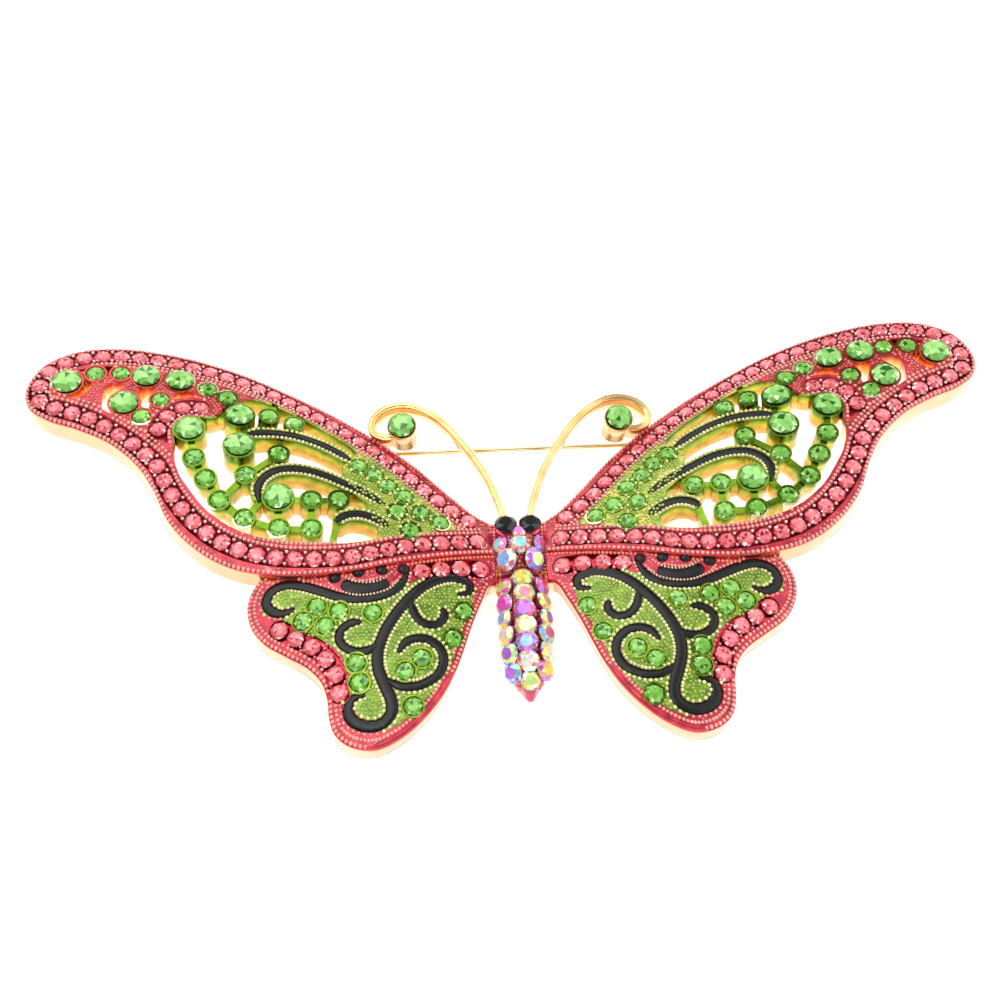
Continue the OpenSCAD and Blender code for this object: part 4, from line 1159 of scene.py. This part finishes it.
points, faces = antenna_parts()
points = tipped(points - [0, HEAD_Y, 0], SLOPE) + [0, HEAD_Y, FOOT_Z]
points[:, 1] = np.maximum(points[:, 1], HEAD_Y - 0.1)
both_sides("antenna_ribbon", mirror, points, faces, deep_gold, "gold_plate", replaced=["antenna"])

# ---- body ----


def round_body(s, r, a):
    """Points at the angles a round the body's axis, r from it and s behind the head."""
    return np.column_stack([r * np.sin(a), np.full(np.size(a), HEAD_Y - s), BODY_Z + r * np.cos(a)])


SKIN_FROM, SKIN_LOW, SKIN_IN, SKIN_OUT = 8.1, 1.4, 0.02, 0.15


def skin():
    """The enamel over the abdomen and the tail, a shell that is open below."""
    line = curve(ABDOMEN, 6)
    line = line[line[:, 0] > SKIN_FROM]
    out = []
    for more in (SKIN_IN, SKIN_OUT):
        rows = []
        for s, r in line:
            r = max(r, 0.2) + more
            reach = math.acos(max(-0.98, (SKIN_LOW - BODY_Z) / r))
            rows.append(round_body(s, r, np.linspace(-reach, reach, 37)))
        out.append(np.array(rows))
    inner, outer = out
    rings = np.concatenate([outer, inner[:, ::-1]], axis=1)
    return tube(rings), line, rings


(points, faces), line, rings = skin()
far = np.repeat(np.clip((line[:, 0] - 20.5) / 2.5, 0, 1), rings.shape[1])
off_middle = np.clip(np.abs(points[:, 0]) / 0.9, 0, 1)
deep, bright = np.array((0.6, 0.03, 0.08)), np.array((0.95, 0.36, 0.42))
mixed = (far * off_middle)[:, None]
add_piece("abdomen_skin", points, faces, bead_metal, "pink_enamel", deep * (1 - mixed) + bright * mixed,
          replaced=["body_enamel"])


def turned_body(profile, cap, steps=40):
    """A closed solid round the body's axis, flat where it would reach under the table."""
    line = curve(profile, 5)
    line = np.vstack([[line[0, 0], 0.05], line, [line[-1, 0] + cap, 0.05]])
    a = np.arange(steps) * 2 * math.pi / steps
    rings = np.array([round_body(s, r, a) for s, r in line])
    rings[:, :, 2] = np.maximum(rings[:, :, 2], 0.02)
    return tube(rings)


# Rings of the saddle round the body: (y, half width, top)
SADDLE_BACK = 1.0
SADDLE = [(3.55, 3.0, 3.6), (3.45, 3.4, 4.0), (3.1, 3.6, 4.2), (1.4, 3.6, 4.25), (-3.0, 3.6, 4.2),
          (-3.7, 3.6, 4.0), (-4.3, 3.4, 3.5), (-4.6, 3.1, 2.8)]


def saddle():
    """The rounded block that the wings are soldered to."""
    a = np.arange(32) * 2 * math.pi / 32
    c, d = np.cos(a), np.sin(a)
    wide, high = np.sign(d) * np.abs(d) ** 0.4, np.sign(c) * np.abs(c) ** 0.5
    return tube(np.array([
        np.column_stack([half * wide, np.full(32, y),
                         (top + SADDLE_BACK) / 2 + (top - SADDLE_BACK) / 2 * high])
        for y, half, top in SADDLE]))


def eye_posts():
    points, faces = lathe([(0, -3.4), (1.3, -3.4), (1.44, -3.2), (1.44, -0.12), (1.36, 0), (0, 0)], 24)
    return [(tipped(points, -12) + [x, 2.5, 5.0], faces) for x in (-1.6, 1.6)]


# Colours of the body's beads, foot and top at the waist and tops elsewhere: painted shade at each foot,
# painted highlight on each top
WAIST_Y, WAIST_REACH, WAIST_TONES = -3.7, 1.1, ((0.8, 0.08, 0.04), (1.0, 0.4, 0.18))
BODY_TONES = [(0.95, 0.25, 0.3), (0.9, 0.3, 0.5), (1.0, 0.45, 0.25), (0.8, 0.25, 0.6), (1.0, 0.3, 0.2)]
# Lines of beads on the saddle along the wings' roots: (x, z)
ROOT_LINES = ((2.7, 4.2), (3.15, 4.2), (3.6, 4.18))


def body_beads(crystals):
    """Small beads that fill the spaces between the crystals."""
    parts, tints = [], []
    places = np.array([c[0] for c in crystals])
    reach = np.array([c[2] for c in crystals])
    spots = [(np.array([side * x, y, z]), side * 10) for side in (-1, 1) for x, z in ROOT_LINES
             for y in np.arange(-4.0, 3.3, 0.52)]
    for profile, start, stop in ((THORAX, 1.2, 7.6), (ABDOMEN, 8.3, 22.4)):
        line = np.array(profile)
        for s in np.arange(start, stop, 0.5):
            r = np.interp(s, line[:, 0], line[:, 1]) + 0.12
            for angle in np.arange(-84, 85, math.degrees(0.5 / r)):
                spots.append((round_body(s, r, math.radians(angle))[0], angle))
    for place, angle in spots:
        if np.min(np.linalg.norm(places - place, axis=1) - reach) < -0.1:
            continue
        a = math.radians(angle)
        axis = np.array([math.sin(a), 0, math.cos(a)])
        u, v = across_axis(axis)
        size = 0.27 * (0.9 + 0.3 * rng.random())
        parts.append((place + DOME_POINTS * size @ np.array([u, v, axis]), DOME_FACES))
        # The bead's foot takes low as painted shade and its top takes high as painted highlight
        low, high = (0.75, 0.07, 0.1), BODY_TONES[rng.integers(len(BODY_TONES))]
        if abs(place[1] - WAIST_Y) < WAIST_REACH:
            low, high = WAIST_TONES
        tints.append(dome_shade_and_highlight(low, high))
    points, faces = joined(parts)
    return points, faces, np.vstack(tints)


# ---- materials of the frame's own nodes ----


def paint(material, *names):
    """Gives the frame's own nodes a material."""
    for n in names:
        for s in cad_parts[n].material_slots:
            s.material = material


def body_material():
    """Red-pink lacquer over the casting's upper side, bare gold below."""
    m, tree, shader = node_material("body_gold")
    up = maths(tree, "GREATER_THAN", split_xyz(tree, object_place(tree))["Z"], 1.3 * MM)
    bare = ramp(tree, noise(tree, 260), [(0.3, GOLD), (0.7, GOLD_PALE)])
    red = ramp(tree, noise(tree, 520), [(0.3, (0.5, 0.02, 0.07)), (0.55, (0.85, 0.12, 0.16)),
                                        (0.75, (0.95, 0.42, 0.3))])
    link(tree, mix(tree, "MIX", up, bare, red), shader.inputs["Base Color"])
    set_gloss(shader, 0.9, 0.2, 0.5)
    bump(tree, shader, noise(tree, 900, 4.0), 0.15, 0.0001)
    return m


paint(wing_gold, *pair("fore_wing"))
paint(hind_gold, *pair("hind_wing"))
paint(gold, "hinge_bracket", "hinge_rivet", "pin_stem", "catch_housing", "catch_rotor")
casting = joined([turned_body(THORAX, 0.0), turned_body(ABDOMEN, 0.1), saddle(), *eye_posts()])
casting[0][:, 1] = np.minimum(casting[0][:, 1], HEAD_Y)
add_piece("body_shell", *casting, body_material(), "gold_plate", replaced=["body_casting"])
points, faces, tints = body_beads(stone_seats("thorax_crystals") + stone_seats("abdomen_crystals"))
add_piece("body_beads", points, faces, bead_metal, "pink_enamel", tints)
paint(pink_enamel, *pair("fore_pink_enamel", "hind_pink_enamel"))
paint(lime_enamel, *pair("fore_green_enamel"))
paint(green_enamel, *pair("hind_green_enamel"))

# ---- camera, lights and floor ----

scene = bpy.context.scene
camera = bpy.data.objects.new("camera", bpy.data.cameras.new("camera"))
scene.collection.objects.link(camera)
camera.location = (-0.006637, -0.050234, 0.094212)
camera.rotation_euler = [math.radians(d) for d in (32.698, -0.749, -3.375)]
camera.data.lens, camera.data.sensor_width = 28.3, 36
camera.data.clip_start = 0.001
scene.camera = camera


def area(name, place, size, power, tall=None):
    """A soft white light that faces the object."""
    data = bpy.data.lights.new(name, "AREA")
    data.shape, data.size, data.size_y = "RECTANGLE", size, tall or size
    data.energy = power
    o = bpy.data.objects.new(name, data)
    scene.collection.objects.link(o)
    o.location = place
    o.rotation_euler = (-Vector(place)).to_track_quat("-Z", "Y").to_euler()


area("key", (-0.14, 0.14, 0.28), 0.36, 0.85)
area("fill", (0.24, 0.02, 0.22), 0.34, 0.5)
area("front", (0.0, -0.3, 0.14), 0.4, 0.42, tall=0.2)
area("back", (0.05, 0.32, 0.12), 0.5, 0.42, tall=0.15)
area("spark", (-0.06, 0.02, 0.34), 0.03, 0.07)

world = bpy.data.worlds.new("room")
scene.world = world
world.use_nodes = True
tree = world.node_tree
up = split_xyz(tree, tree.nodes.new("ShaderNodeTexCoord").outputs["Generated"])["Z"]
greys = ((0.0, 0.9), (0.5, 0.75), (0.62, 0.25), (0.75, 0.9), (0.9, 0.45), (1.0, 0.8))
sky = ramp(tree, maths(tree, "MULTIPLY_ADD", up, 0.5), [(at, (grey,) * 3) for at, grey in greys])
link(tree, sky, tree.nodes["Background"].inputs["Color"])
tree.nodes["Background"].inputs["Strength"].default_value = 0.55

floor_points = [[-600, -600, -0.02], [600, -600, -0.02], [600, 600, -0.02], [-600, 600, -0.02]]
white, tree, shader = node_material("floor_white")
link(tree, ramp(tree, noise(tree, 60), [(0.2, (0.93,) * 3), (0.8, (0.97,) * 3)]), shader.inputs["Base Color"])
set_gloss(shader, 0.0, 0.7)
shader.inputs["Emission Color"].default_value = (1, 1, 1, 1)
shader.inputs["Emission Strength"].default_value = 0.62
floor = make_mesh("floor", floor_points, [[0, 1, 2, 3]], white)
scene.view_settings.view_transform = "Standard"
